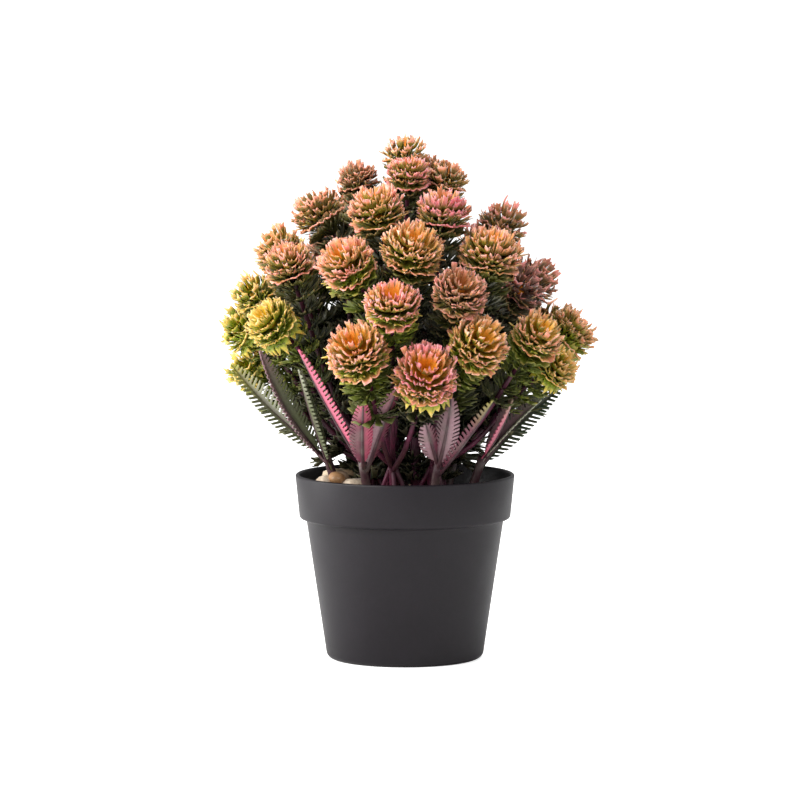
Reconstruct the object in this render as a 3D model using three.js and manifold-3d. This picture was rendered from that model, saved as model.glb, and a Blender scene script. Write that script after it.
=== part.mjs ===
// A potted bush of artificial pink lavender: a tapered pot, a cast filler with a bed of
// pebbles on it, branching stems and comb-edged leaves that stand in plain holes, and a
// dome of rosette heads, each a stack of pointed whorls. Millimetres, +Z up, origin at the
// middle of the pot's flat underside. The front of the bush looks along -Y.

import * as THREE from 'three';
import { mergeVertices } from 'three/addons/utils/BufferGeometryUtils.js';
import Module from 'manifold-3d';

const wasm = await Module();
wasm.setup();

// Pot
const RIM_RADIUS = 45;
const POT_HEIGHT = 76;
const BAND_HEIGHT = 17;
const BAND_FOOT_RADIUS = 43.4;
const BAND_STEP = 2.3;
const BODY_TOP_RADIUS = 40.5;
const FOOT_RADIUS = 32.4;
const FOOT_ROUND = 3;
const POT_WALL = 1.5;
const POT_FLOOR = 2;
const LIP_ROUND = 0.7;
const POT_SIDES = 32;

// Filler and pebbles
const TOUCH_GAP = 0.3;
const FILLER_TOP = 61;
const FILLER_SIDES = 16;
const BED_DEPTH = 6;
const HEAP_RISE = 10;
const HEAP_HEADING = -80;
const HEAP_REACH = 28;
const HEAP_FOOT_RADIUS = 13;
const HEAP_TOP_RADIUS = 7;
const HEAP_SIDES = 8;
const PEBBLE_COUNT = 25;
const PEBBLE_RADIUS = 6.1;
const STONE_SIDES = 6;
const BED_RADIUS = 41.2;
const BED_UNDER = 2;

// Stems
const SPRAY_COUNT = 5;
const SPRAY_FIRST_HEADING = -20;
const SPRAY_FOOT_REACH = 10;
const SPRAY_FORK_REACH = 16;
const SPRAY_FORK_HEIGHT = 86;
const LEADER_HEADING = 120;
const LEADER_REACH = 5;
const LEADER_FORK_HEIGHT = 152;
const LEADER_FROM_HEIGHT = 196;
const FOOT_DEPTH = 10;
const TRUNK_RADIUS = 2.3;
const NEEDLE_LIFT = 0.35;
const WHORL_THICK = 1.8;
const BRANCH_RADIUS = 1.2;
const BRANCH_FIRST_HEIGHT = 78;
const WHORL_TIPS = 5;
const WHORLS = [
  { below: 21, share: 0.86 },
  { below: 7, share: 0.92 },
];

// Dome of heads
const DOME_TOP = 210;
const DOME_WIDE_HEIGHT = 130;
const DOME_REACH = 70;
const DOME_UNDERCUT = 0.035;
const FACING_HEIGHT = 62;
const FACING_REACH = 62;
const FACING_RISE = 72;
const FACING_STRAY = 0.16;
const GOLDEN_ANGLE = 137.508;

// Each head: heading from the front in degrees (positive to the right), height of its
// middle, width across, how far it sits inside the dome, and how many degrees its face is
// lifted above the dome's own slope
const HEADS = [
  { heading: -90, height: 209, across: 17 },
  { heading: 10, height: 203, across: 18 },
  { heading: 62, height: 200, across: 17 },
  { heading: 145, height: 201, across: 18 },
  { heading: -105, height: 199, across: 17 },
  { heading: -21, height: 189, across: 23 },
  { heading: 26, height: 188, across: 22, lift: 14 },
  { heading: -80, height: 186, across: 21 },
  { heading: 108, height: 181, across: 20 },
  { heading: 160, height: 188, across: 21 },
  { heading: -145, height: 188, across: 21 },
  { heading: 4, height: 174, across: 25, lift: 6 },
  { heading: -26, height: 168, across: 23, lift: -6 },
  { heading: -58, height: 167, across: 21, lift: 6 },
  { heading: -90, height: 171, across: 20 },
  { heading: 42, height: 172, across: 25, lift: 12 },
  { heading: 140, height: 170, across: 22 },
  { heading: 178, height: 171, across: 23 },
  { heading: -145, height: 169, across: 22 },
  { heading: -116, height: 165, across: 21 },
  { heading: 21, height: 157, across: 22 },
  { heading: -5, height: 152, across: 23, lift: 22 },
  { heading: 74, height: 156, across: 21, inset: 12 },
  { heading: 110, height: 157, across: 21, inset: 4 },
  { heading: 158, height: 151, across: 22 },
  { heading: -163, height: 152, across: 22 },
  { heading: -78, height: 153, across: 18 },
  { heading: -129, height: 148, across: 22 },
  { heading: -55, height: 143, across: 20 },
  { heading: -16, height: 135, across: 25, lift: 16 },
  { heading: 26, height: 136, across: 24 },
  { heading: 52, height: 138, across: 21 },
  { heading: 90, height: 136, across: 22 },
  { heading: 116, height: 137, across: 21 },
  { heading: 137, height: 139, across: 21 },
  { heading: 176, height: 133, across: 23 },
  { heading: -145, height: 131, across: 22 },
  { heading: -106, height: 138, across: 21 },
  { heading: -83, height: 137, across: 18 },
  { heading: 7, height: 125, across: 25, lift: 10 },
  { heading: 67, height: 124, across: 19 },
  { heading: 152, height: 122, across: 22 },
  { heading: -170, height: 117, across: 21 },
  { heading: -92, height: 120, across: 17 },
];
const SPREAD_PASSES = 80;
const SPREAD_SHARE = 0.94;
const HEAD_GROWTH = 1.06;
const HEAD_TIPS = 9;
const SMALL_HEAD = 21;
const SHORT_FROM_HEADING = 95;

// Each tier of a head as shares of the head's radius: reach and height of its tips, and
// reach and height of the throat above it
const FULL_TIERS = [
  { tipReach: 1, tipHeight: -0.26, throatReach: 0.3, throatHeight: -0.4 },
  { tipReach: 0.98, tipHeight: 0.1, throatReach: 0.28, throatHeight: -0.12 },
  { tipReach: 0.8, tipHeight: 0.38, throatReach: 0.2, throatHeight: 0.1 },
  { tipReach: 0.5, tipHeight: 0.54, throatReach: 0, throatHeight: 0.22 },
];
const SHORT_TIERS = [
  { tipReach: 1, tipHeight: -0.2, throatReach: 0.28, throatHeight: -0.3 },
  { tipReach: 0.9, tipHeight: 0.22, throatReach: 0.22, throatHeight: 0 },
  { tipReach: 0.56, tipHeight: 0.5, throatReach: 0, throatHeight: 0.2 },
];
const HEAD_BASE = -0.7;
const VALLEY_SHARE = 0.74;
const TIP_JITTER = 0.07;

// Comb leaves: each tuft has a heading for its foot, and each leaf the heading, reach and
// height of its tip, its bow, its roll in degrees and its half width
const TUFT_FOOT_REACH = 22;
const TUFT_FORK_REACH = 33;
const TUFT_FORK_HEIGHT = 84;
const TUFT_RADIUS = 2;
const TUFTS = [
  {
    heading: -76,
    leaves: [
      { heading: -80, reach: 72, height: 122, bow: 3, roll: -70, half: 6.6 },
      { heading: -63, reach: 66, height: 129, bow: 6, roll: -60, half: 6.8 },
      { heading: -50, reach: 56, height: 122, bow: 2, roll: -45, half: 5.8 },
    ],
  },
  {
    heading: -32,
    leaves: [
      { heading: -41, reach: 65, height: 131, bow: 2, roll: -35, half: 6.8 },
      { heading: -17, reach: 57, height: 110, bow: 3, roll: 25, half: 5.8 },
      { heading: -3, reach: 54, height: 117, bow: -3, roll: 20, half: 5.3 },
    ],
  },
  {
    heading: 24,
    leaves: [
      { heading: 10, reach: 47, height: 101, bow: 2, roll: 15, half: 5.3 },
      { heading: 20, reach: 54, height: 112, bow: 3, roll: -30, half: 5.8 },
      { heading: 41, reach: 54, height: 110, bow: 2, roll: 25, half: 5.8 },
    ],
  },
  {
    heading: 74,
    leaves: [
      { heading: 57, reach: 52, height: 109, bow: 2, roll: 40, half: 5.8 },
      { heading: 73, reach: 58, height: 108, bow: -2, roll: 40, half: 5.8 },
      { heading: 86, reach: 64, height: 112, bow: -3, roll: 80, half: 6.3 },
    ],
  },
  {
    heading: 140,
    leaves: [
      { heading: 119, reach: 60, height: 108, bow: 2, roll: 15, half: 5.8 },
      { heading: 136, reach: 63, height: 114, bow: 4, roll: 0, half: 6.3 },
      { heading: 160, reach: 54, height: 98, bow: 2, roll: -20, half: 5.8 },
    ],
  },
  {
    heading: -140,
    leaves: [
      { heading: -160, reach: 53, height: 102, bow: 2, roll: 20, half: 5.8 },
      { heading: -136, reach: 60, height: 111, bow: 4, roll: 0, half: 6.3 },
      { heading: -115, reach: 64, height: 121, bow: 3, roll: -15, half: 5.8 },
    ],
  },
];
const LEAF_TEETH = 7;
const LEAF_THICK = 0.8;
const LEAF_STALK = 0.14;
const STALK_HALF = 1.1;
const LEAF_FOLD = 32;
const TOOTH_DEPTH = 0.42;

const ALONG_STEM = new THREE.Vector3(0, 1, 0);
const UP = new THREE.Vector3(0, 0, 1);

// Colours
const CHARCOAL = { color: 0x37373b, roughness: 0.62, metalness: 0 };
const PLASTER = { color: 0x8f8879, roughness: 0.95, metalness: 0 };
const STONE = { color: 0xcbb79c, roughness: 0.8, metalness: 0 };
const BURGUNDY = { color: 0x46182a, roughness: 0.55, metalness: 0 };
const MAUVE = { color: 0x6d4a58, roughness: 0.6, metalness: 0 };
const PEACH = { color: 0xd98f72, roughness: 0.65, metalness: 0 };

// A small random generator, so that every build gives the same bush
function seeded(seed) {
  let state = seed >>> 0;
  return function next() {
    state = (state + 0x6d2b79f5) >>> 0;
    let mixed = Math.imul(state ^ (state >>> 15), 1 | state);
    mixed = (mixed + Math.imul(mixed ^ (mixed >>> 7), 61 | mixed)) ^ mixed;
    return ((mixed ^ (mixed >>> 14)) >>> 0) / 4294967296;
  };
}

// A point from its heading (degrees from the front), reach from the axis and height
function spot(heading, reach, height) {
  const angle = THREE.MathUtils.degToRad(heading);
  return new THREE.Vector3(reach * Math.sin(angle), -reach * Math.cos(angle), height);
}

function headingOf(point) {
  return THREE.MathUtils.radToDeg(Math.atan2(point.x, -point.y));
}

// A closed three.js geometry as a solid that can be joined and cut
function solidOf(geometry) {
  const bare = geometry.clone();
  bare.deleteAttribute('normal');
  bare.deleteAttribute('uv');
  const merged = mergeVertices(bare, 1e-4);
  return new wasm.Manifold(
    new wasm.Mesh({
      numProp: 3,
      vertProperties: new Float32Array(merged.attributes.position.array),
      triVerts: new Uint32Array(merged.index.array),
    }),
  );
}

// The solid back as a three.js geometry
function geometryOf(solid) {
  const mesh = solid.getMesh();
  const geometry = new THREE.BufferGeometry();
  geometry.setAttribute('position', new THREE.Float32BufferAttribute(mesh.vertProperties, 3));
  geometry.setIndex(new THREE.BufferAttribute(mesh.triVerts, 1));
  return geometry;
}

// Points and triangles as a three.js geometry
function facetsOf(points, triangles) {
  const geometry = new THREE.BufferGeometry();
  const numbers = points.flatMap((point) => point.toArray());
  geometry.setAttribute('position', new THREE.Float32BufferAttribute(numbers, 3));
  geometry.setIndex(triangles.flat());
  return geometry;
}

function meshOf(name, geometry, look) {
  const mesh = new THREE.Mesh(geometry, new THREE.MeshStandardMaterial(look));
  mesh.name = name;
  return mesh;
}

// A solid of revolution whose polygon has a corner on +X, with its axis along +Z
function turned(profile, sides) {
  const lathe = new THREE.LatheGeometry(profile, sides, Math.PI / 2);
  lathe.rotateX(Math.PI / 2);
  return lathe;
}

// Pot: outside up, over the lip, inside down to the floor
function potInnerRadius(height) {
  const bodySlope = (BODY_TOP_RADIUS - FOOT_RADIUS) / (POT_HEIGHT - BAND_HEIGHT);
  return FOOT_RADIUS + bodySlope * height - POT_WALL;
}

function makePot() {
  const bandFoot = POT_HEIGHT - BAND_HEIGHT;
  const innerFloor = potInnerRadius(POT_FLOOR);
  const innerStep = potInnerRadius(bandFoot);
  const lipInner = RIM_RADIUS - POT_WALL;
  const profile = [
    new THREE.Vector2(0, 0),
    new THREE.Vector2(FOOT_RADIUS - FOOT_ROUND, 0),
    new THREE.Vector2(FOOT_RADIUS - FOOT_ROUND * 0.3, FOOT_ROUND * 0.3),
    new THREE.Vector2(FOOT_RADIUS, FOOT_ROUND),
    new THREE.Vector2(BODY_TOP_RADIUS, bandFoot - BAND_STEP),
    new THREE.Vector2(BAND_FOOT_RADIUS, bandFoot),
    new THREE.Vector2(RIM_RADIUS, POT_HEIGHT - LIP_ROUND),
    new THREE.Vector2(RIM_RADIUS - LIP_ROUND * 0.5, POT_HEIGHT),
    new THREE.Vector2(lipInner, POT_HEIGHT),
    new THREE.Vector2(BAND_FOOT_RADIUS - POT_WALL, bandFoot + BAND_STEP),
    new THREE.Vector2(innerStep, bandFoot - BAND_STEP),
    new THREE.Vector2(innerFloor, POT_FLOOR),
    new THREE.Vector2(0, POT_FLOOR),
  ];
  return meshOf('pot', turned(profile, POT_SIDES), CHARCOAL);
}

// Stem feet: where each spray and leaf tuft stands in the filler, and where it forks
function footOf(heading, footReach, forkReach, forkHeight, radius) {
  const start = spot(heading, footReach, FILLER_TOP - FOOT_DEPTH);
  const end = spot(heading, forkReach, forkHeight);
  return { heading, start, end, radius };
}

function sprayFeet() {
  const feet = [];
  for (let index = 0; index < SPRAY_COUNT; index += 1) {
    const heading = SPRAY_FIRST_HEADING + (index * 360) / SPRAY_COUNT;
    feet.push(footOf(heading, SPRAY_FOOT_REACH, SPRAY_FORK_REACH, SPRAY_FORK_HEIGHT, TRUNK_RADIUS));
  }
  feet.push(footOf(LEADER_HEADING, LEADER_REACH, LEADER_REACH, SPRAY_FORK_HEIGHT, TRUNK_RADIUS));
  return feet;
}

function tuftFeet() {
  return TUFTS.map((tuft) =>
    footOf(tuft.heading, TUFT_FOOT_REACH, TUFT_FORK_REACH, TUFT_FORK_HEIGHT, TUFT_RADIUS),
  );
}

// The plain hole that a foot stands in, open upwards, six-sided and a little wider
const HOLE_SIDES = 6;
const HOLE_CLEARANCE = 0.4;
function holeFor(foot) {
  const radius = (foot.radius + HOLE_CLEARANCE) / Math.cos(Math.PI / HOLE_SIDES);
  const along = foot.end.clone().sub(foot.start).normalize();
  const bottom = foot.start.clone().addScaledVector(along, -TOUCH_GAP);
  const top = foot.end.clone().addScaledVector(along, BED_DEPTH);
  const cylinder = new THREE.CylinderGeometry(radius, radius, bottom.distanceTo(top), HOLE_SIDES);
  cylinder.applyQuaternion(new THREE.Quaternion().setFromUnitVectors(ALONG_STEM, along));
  const middle = bottom.add(top).multiplyScalar(0.5);
  cylinder.translate(middle.x, middle.y, middle.z);
  return solidOf(cylinder);
}

function cutHoles(solid, feet) {
  return feet.reduce((rest, foot) => rest.subtract(holeFor(foot)), solid);
}

// Drops the scraps that a cut leaves loose
function largestBody(solid) {
  const bodies = solid.decompose();
  return bodies.reduce((best, body) => (body.volume() > best.volume() ? body : best));
}

function makeFiller(feet) {
  const bottom = POT_FLOOR + TOUCH_GAP;
  const step = POT_HEIGHT - BAND_HEIGHT - BAND_STEP;
  const profile = [
    new THREE.Vector2(0, bottom),
    new THREE.Vector2(potInnerRadius(bottom) - TOUCH_GAP, bottom),
    new THREE.Vector2(potInnerRadius(step) - TOUCH_GAP, step),
    new THREE.Vector2(potInnerRadius(step) - TOUCH_GAP, FILLER_TOP),
    new THREE.Vector2(0, FILLER_TOP),
  ];
  const block = solidOf(turned(profile, FILLER_SIDES));
  return meshOf('filler', geometryOf(cutHoles(block, feet)), PLASTER);
}

// Height of the pebble bed: level, with a flat-topped heap against the left of the rim
function bedHeight(x, y) {
  const heap = spot(HEAP_HEADING, HEAP_REACH, 0);
  const away = Math.hypot(x - heap.x, y - heap.y);
  const share = (HEAP_FOOT_RADIUS - away) / (HEAP_FOOT_RADIUS - HEAP_TOP_RADIUS);
  return FILLER_TOP + BED_DEPTH + HEAP_RISE * THREE.MathUtils.clamp(share, 0, 1);
}

function makeBed() {
  const bottom = FILLER_TOP + TOUCH_GAP;
  const level = FILLER_TOP + BED_DEPTH - BED_UNDER;
  const profile = [
    new THREE.Vector2(0, bottom),
    new THREE.Vector2(BED_RADIUS, bottom),
    new THREE.Vector2(BED_RADIUS, level),
    new THREE.Vector2(0, level),
  ];
  const rise = level + HEAP_RISE - bottom;
  const heap = new THREE.CylinderGeometry(HEAP_TOP_RADIUS, HEAP_FOOT_RADIUS, rise, HEAP_SIDES);
  const middle = spot(HEAP_HEADING, HEAP_REACH, bottom + rise / 2);
  heap.rotateX(Math.PI / 2);
  heap.translate(middle.x, middle.y, middle.z);
  return solidOf(turned(profile, FILLER_SIDES)).add(solidOf(heap));
}

// Pebbles: low six-sided stones on a sunflower pattern, sunk in the bed to their widest
function stoneSolid(size, random) {
  const profile = [
    new THREE.Vector2(0, -0.4),
    new THREE.Vector2(1, -0.25),
    new THREE.Vector2(0.66, 0.4),
    new THREE.Vector2(0, 0.55),
  ];
  const stone = turned(profile, STONE_SIDES);
  stone.scale(size, size * (0.72 + 0.25 * random()), size * (0.8 + 0.3 * random()));
  stone.rotateZ(random() * Math.PI);
  return stone;
}

function makePebbles(feet) {
  const random = seeded(11);
  let bed = makeBed();
  for (let index = 0; index < PEBBLE_COUNT; index += 1) {
    const size = PEBBLE_RADIUS * (0.85 + 0.3 * random());
    const reach = Math.sqrt((index + 0.6) / PEBBLE_COUNT) * (BED_RADIUS - size);
    const centre = spot(index * GOLDEN_ANGLE, reach, 0);
    centre.z = bedHeight(centre.x, centre.y) - BED_UNDER;
    const stone = stoneSolid(size, random);
    stone.translate(centre.x, centre.y, centre.z);
    bed = bed.add(solidOf(stone));
  }
  return meshOf('pebbles', geometryOf(largestBody(cutHoles(bed, feet))), STONE);
}

// Dome: reach of a head's middle from the axis at a height
function domeReach(height) {
  if (height < DOME_WIDE_HEIGHT) {
    return DOME_REACH - DOME_UNDERCUT * (DOME_WIDE_HEIGHT - height) ** 2;
  }
  const share = Math.min(1, (height - DOME_WIDE_HEIGHT) / (DOME_TOP - DOME_WIDE_HEIGHT));
  return DOME_REACH * (1 - share * share) ** 0.9;
}

// Heads stand where the list puts them, pushed apart along the dome where two would touch
function placeHeads() {
  const heads = HEADS.map((head) => {
    const inset = head.inset ?? 0;
    const reach = Math.max(0, domeReach(head.height) - inset);
    const across = head.across * HEAD_GROWTH;
    return { ...head, width: head.across, across, inset, centre: spot(head.heading, reach, head.height) };
  });
  for (let pass = 0; pass < SPREAD_PASSES; pass += 1) {
    for (const head of heads) {
      for (const other of heads) {
        const need = ((head.across + other.across) / 2) * SPREAD_SHARE;
        const apart = head.centre.distanceTo(other.centre);
        if (head === other || apart >= need) {
          continue;
        }
        const push = other.centre.clone().sub(head.centre).setLength((need - apart) / 2);
        other.centre.add(push);
        head.centre.sub(push);
      }
    }
    for (const head of heads) {
      head.heading = headingOf(head.centre);
      head.height = Math.min(head.centre.z, DOME_TOP);
      const reach = Math.max(0, domeReach(head.height) - head.inset);
      head.centre.copy(spot(head.heading, reach, head.height));
    }
  }
  const random = seeded(5);
  heads.forEach((head, index) => {
    head.index = index;
    head.facing = new THREE.Vector3(
      head.centre.x / FACING_REACH ** 2,
      head.centre.y / FACING_REACH ** 2,
      (head.centre.z - FACING_HEIGHT) / FACING_RISE ** 2,
    ).normalize();
    const stray = new THREE.Vector3(random() - 0.5, random() - 0.5, random() - 0.5);
    head.facing.addScaledVector(stray, 2 * FACING_STRAY).normalize();
    const sideways = new THREE.Vector3().crossVectors(head.facing, UP).normalize();
    head.facing.applyAxisAngle(sideways, THREE.MathUtils.degToRad(head.lift ?? 0));
  });
  return heads;
}

// Turns a shape built along +Z to a direction, spun about it, and moves it to a place
function aimed(geometry, place, facing, spin) {
  geometry.rotateZ(THREE.MathUtils.degToRad(spin));
  geometry.applyQuaternion(new THREE.Quaternion().setFromUnitVectors(UP, facing));
  geometry.translate(place.x, place.y, place.z);
  return geometry;
}

// Joins a ring of twice as many points to a ring whose points line up with its even ones
function bandTriangles(star, ring, count, flipped) {
  const triangles = [];
  for (let index = 0; index < count; index += 1) {
    const first = star + 2 * index;
    const tip = first + 1;
    const last = star + ((2 * index + 2) % (2 * count));
    const here = ring + index;
    const there = ring + ((index + 1) % count);
    triangles.push([first, tip, here], [tip, there, here], [tip, last, there]);
  }
  return flipped ? triangles.map(([a, b, c]) => [a, c, b]) : triangles;
}

// A head: star-edged tiers that nest in one another, wide and flat below, steep above
function headGeometry(radius, tiers, random) {
  const points = [new THREE.Vector3(0, 0, HEAD_BASE * radius)];
  const triangles = [];
  let lower = 0;
  tiers.forEach((tier, level) => {
    const star = points.length;
    const tipsOnOdd = level % 2 === 0;
    const under = level === 0 ? HEAD_BASE : tiers[level - 1].throatHeight;
    for (let index = 0; index < 2 * HEAD_TIPS; index += 1) {
      const isTip = (index % 2 === 1) === tipsOnOdd;
      const reach = tier.tipReach * (isTip ? 1 - TIP_JITTER * random() : VALLEY_SHARE);
      const drop = isTip ? 0 : (1 - VALLEY_SHARE) * (tier.tipHeight - under);
      const angle = (index * Math.PI) / HEAD_TIPS;
      points.push(
        new THREE.Vector3(
          reach * radius * Math.cos(angle),
          reach * radius * Math.sin(angle),
          (tier.tipHeight - drop + (isTip ? TIP_JITTER * (random() - 0.5) : 0)) * radius,
        ),
      );
    }
    if (level === 0) {
      for (let index = 0; index < 2 * HEAD_TIPS; index += 1) {
        triangles.push([lower, star + ((index + 1) % (2 * HEAD_TIPS)), star + index]);
      }
    } else {
      triangles.push(...bandTriangles(star, lower, HEAD_TIPS, true));
    }
    const throat = points.length;
    if (tier.throatReach === 0) {
      points.push(new THREE.Vector3(0, 0, tier.throatHeight * radius));
      for (let index = 0; index < 2 * HEAD_TIPS; index += 1) {
        triangles.push([star + index, star + ((index + 1) % (2 * HEAD_TIPS)), throat]);
      }
      return;
    }
    for (let index = 0; index < HEAD_TIPS; index += 1) {
      const angle = (2 * index * Math.PI) / HEAD_TIPS;
      points.push(
        new THREE.Vector3(
          tier.throatReach * radius * Math.cos(angle),
          tier.throatReach * radius * Math.sin(angle),
          tier.throatHeight * radius,
        ),
      );
    }
    triangles.push(...bandTriangles(star, throat, HEAD_TIPS, false));
    lower = throat;
  });
  return facetsOf(points, triangles);
}

function makeHead(head) {
  const random = seeded(100 + head.index);
  const behind = Math.abs(head.heading) > SHORT_FROM_HEADING;
  const tiers = head.width <= SMALL_HEAD || behind ? SHORT_TIERS : FULL_TIERS;
  const geometry = headGeometry(head.across / 2, tiers, random);
  aimed(geometry, head.centre, head.facing, head.index * GOLDEN_ANGLE);
  const number = String(head.index + 1).padStart(2, '0');
  return meshOf(`head_${number}`, geometry, PEACH);
}

// A straight-sided tube of a regular section along a curve
function tubeAlong(curve, radius, sides, steps) {
  const section = new THREE.Shape();
  for (let side = 0; side < sides; side += 1) {
    const angle = (side * 2 * Math.PI) / sides;
    if (side === 0) {
      section.moveTo(radius, 0);
    } else {
      section.lineTo(radius * Math.cos(angle), radius * Math.sin(angle));
    }
  }
  section.closePath();
  const options = { steps, bevelEnabled: false, extrudePath: curve };
  return solidOf(new THREE.ExtrudeGeometry(section, options));
}

// A branch from its fork to the underside of a head: a five-sided stem that opens into a
// whorl of needles just below the head and closes to a point at its tip
function branchGeometry(fork, head) {
  const radius = head.across / 2;
  const tip = head.centre.clone().addScaledVector(head.facing, HEAD_BASE * radius - TOUCH_GAP);
  const neck = tip.clone().addScaledVector(head.facing, -2 * WHORLS[1].below);
  const shoulder = fork.clone().lerp(neck, 0.5);
  shoulder.z -= fork.distanceTo(neck) * 0.08;
  const curve = new THREE.CatmullRomCurve3([fork, shoulder, neck, tip]);
  const points = [];
  const triangles = [];
  const addRing = (share, count, reachOf) => {
    const centre = curve.getPointAt(share);
    const turn = new THREE.Quaternion().setFromUnitVectors(UP, curve.getTangentAt(share));
    for (let index = 0; index < count; index += 1) {
      const angle = (index * 2 * Math.PI) / count + head.index;
      const reach = reachOf(index);
      const rise = reach > BRANCH_RADIUS ? NEEDLE_LIFT * reach : 0;
      const point = new THREE.Vector3(reach * Math.cos(angle), reach * Math.sin(angle), rise);
      points.push(point.applyQuaternion(turn).add(centre));
    }
    return points.length - count;
  };
  const stemReach = () => BRANCH_RADIUS;
  let low = addRing(0, WHORL_TIPS, stemReach);
  points.push(fork.clone());
  for (let index = 0; index < WHORL_TIPS; index += 1) {
    triangles.push([points.length - 1, low + ((index + 1) % WHORL_TIPS), low + index]);
  }
  for (const whorl of WHORLS) {
    const length = curve.getLength();
    const share = 1 - whorl.below / length;
    const needleReach = (index) => radius * whorl.share * (index % 2 === 0 ? 1 : 0.4);
    const under = addRing(share - WHORL_THICK / length, WHORL_TIPS, stemReach);
    const star = addRing(share, 2 * WHORL_TIPS, needleReach);
    const over = addRing(share + WHORL_THICK / length, WHORL_TIPS, stemReach);
    for (let index = 0; index < WHORL_TIPS; index += 1) {
      const next = (index + 1) % WHORL_TIPS;
      triangles.push([low + index, low + next, under + next]);
      triangles.push([low + index, under + next, under + index]);
    }
    triangles.push(...bandTriangles(star, under, WHORL_TIPS, true));
    triangles.push(...bandTriangles(star, over, WHORL_TIPS, false));
    low = over;
  }
  points.push(tip);
  for (let index = 0; index < WHORL_TIPS; index += 1) {
    triangles.push([points.length - 1, low + index, low + ((index + 1) % WHORL_TIPS)]);
  }
  return facetsOf(points, triangles);
}

// A spray: one trunk in its hole, with a branch for each head that it carries, the lowest
// head's branch lowest on the trunk
function makeSpray(index, foot, fork, heads) {
  let spray = tubeAlong(new THREE.LineCurve3(foot.start, foot.end), foot.radius, 6, 1);
  let top = foot.end;
  if (fork) {
    spray = spray.add(tubeAlong(new THREE.LineCurve3(foot.end, fork), foot.radius * 0.8, 6, 1));
    top = fork;
  }
  const low = fork ? fork.z - 10 : BRANCH_FIRST_HEIGHT;
  const order = [...heads].sort((one, other) => one.height - other.height);
  order.forEach((head, place) => {
    const height = THREE.MathUtils.lerp(low, top.z - 1, (place + 0.5) / order.length);
    const start = foot.start.clone().lerp(top, (height - foot.start.z) / (top.z - foot.start.z));
    spray = spray.add(solidOf(branchGeometry(start, head)));
  });
  return meshOf(`spray_${index + 1}`, geometryOf(spray), BURGUNDY);
}

// Each head belongs to the spray whose heading is nearest, and the top ones to the leader
function spraysFor(heads, feet) {
  const leader = feet.length - 1;
  const owned = feet.map(() => []);
  for (const head of heads) {
    if (head.height >= LEADER_FROM_HEIGHT) {
      owned[leader].push(head);
      continue;
    }
    const turn = (head.heading - SPRAY_FIRST_HEADING + 720) / (360 / SPRAY_COUNT);
    owned[Math.round(turn) % SPRAY_COUNT].push(head);
  }
  return feet.map((foot, index) => {
    const fork = index === leader ? spot(0, 0, LEADER_FORK_HEIGHT) : null;
    return makeSpray(index, foot, fork, owned[index]);
  });
}

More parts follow.
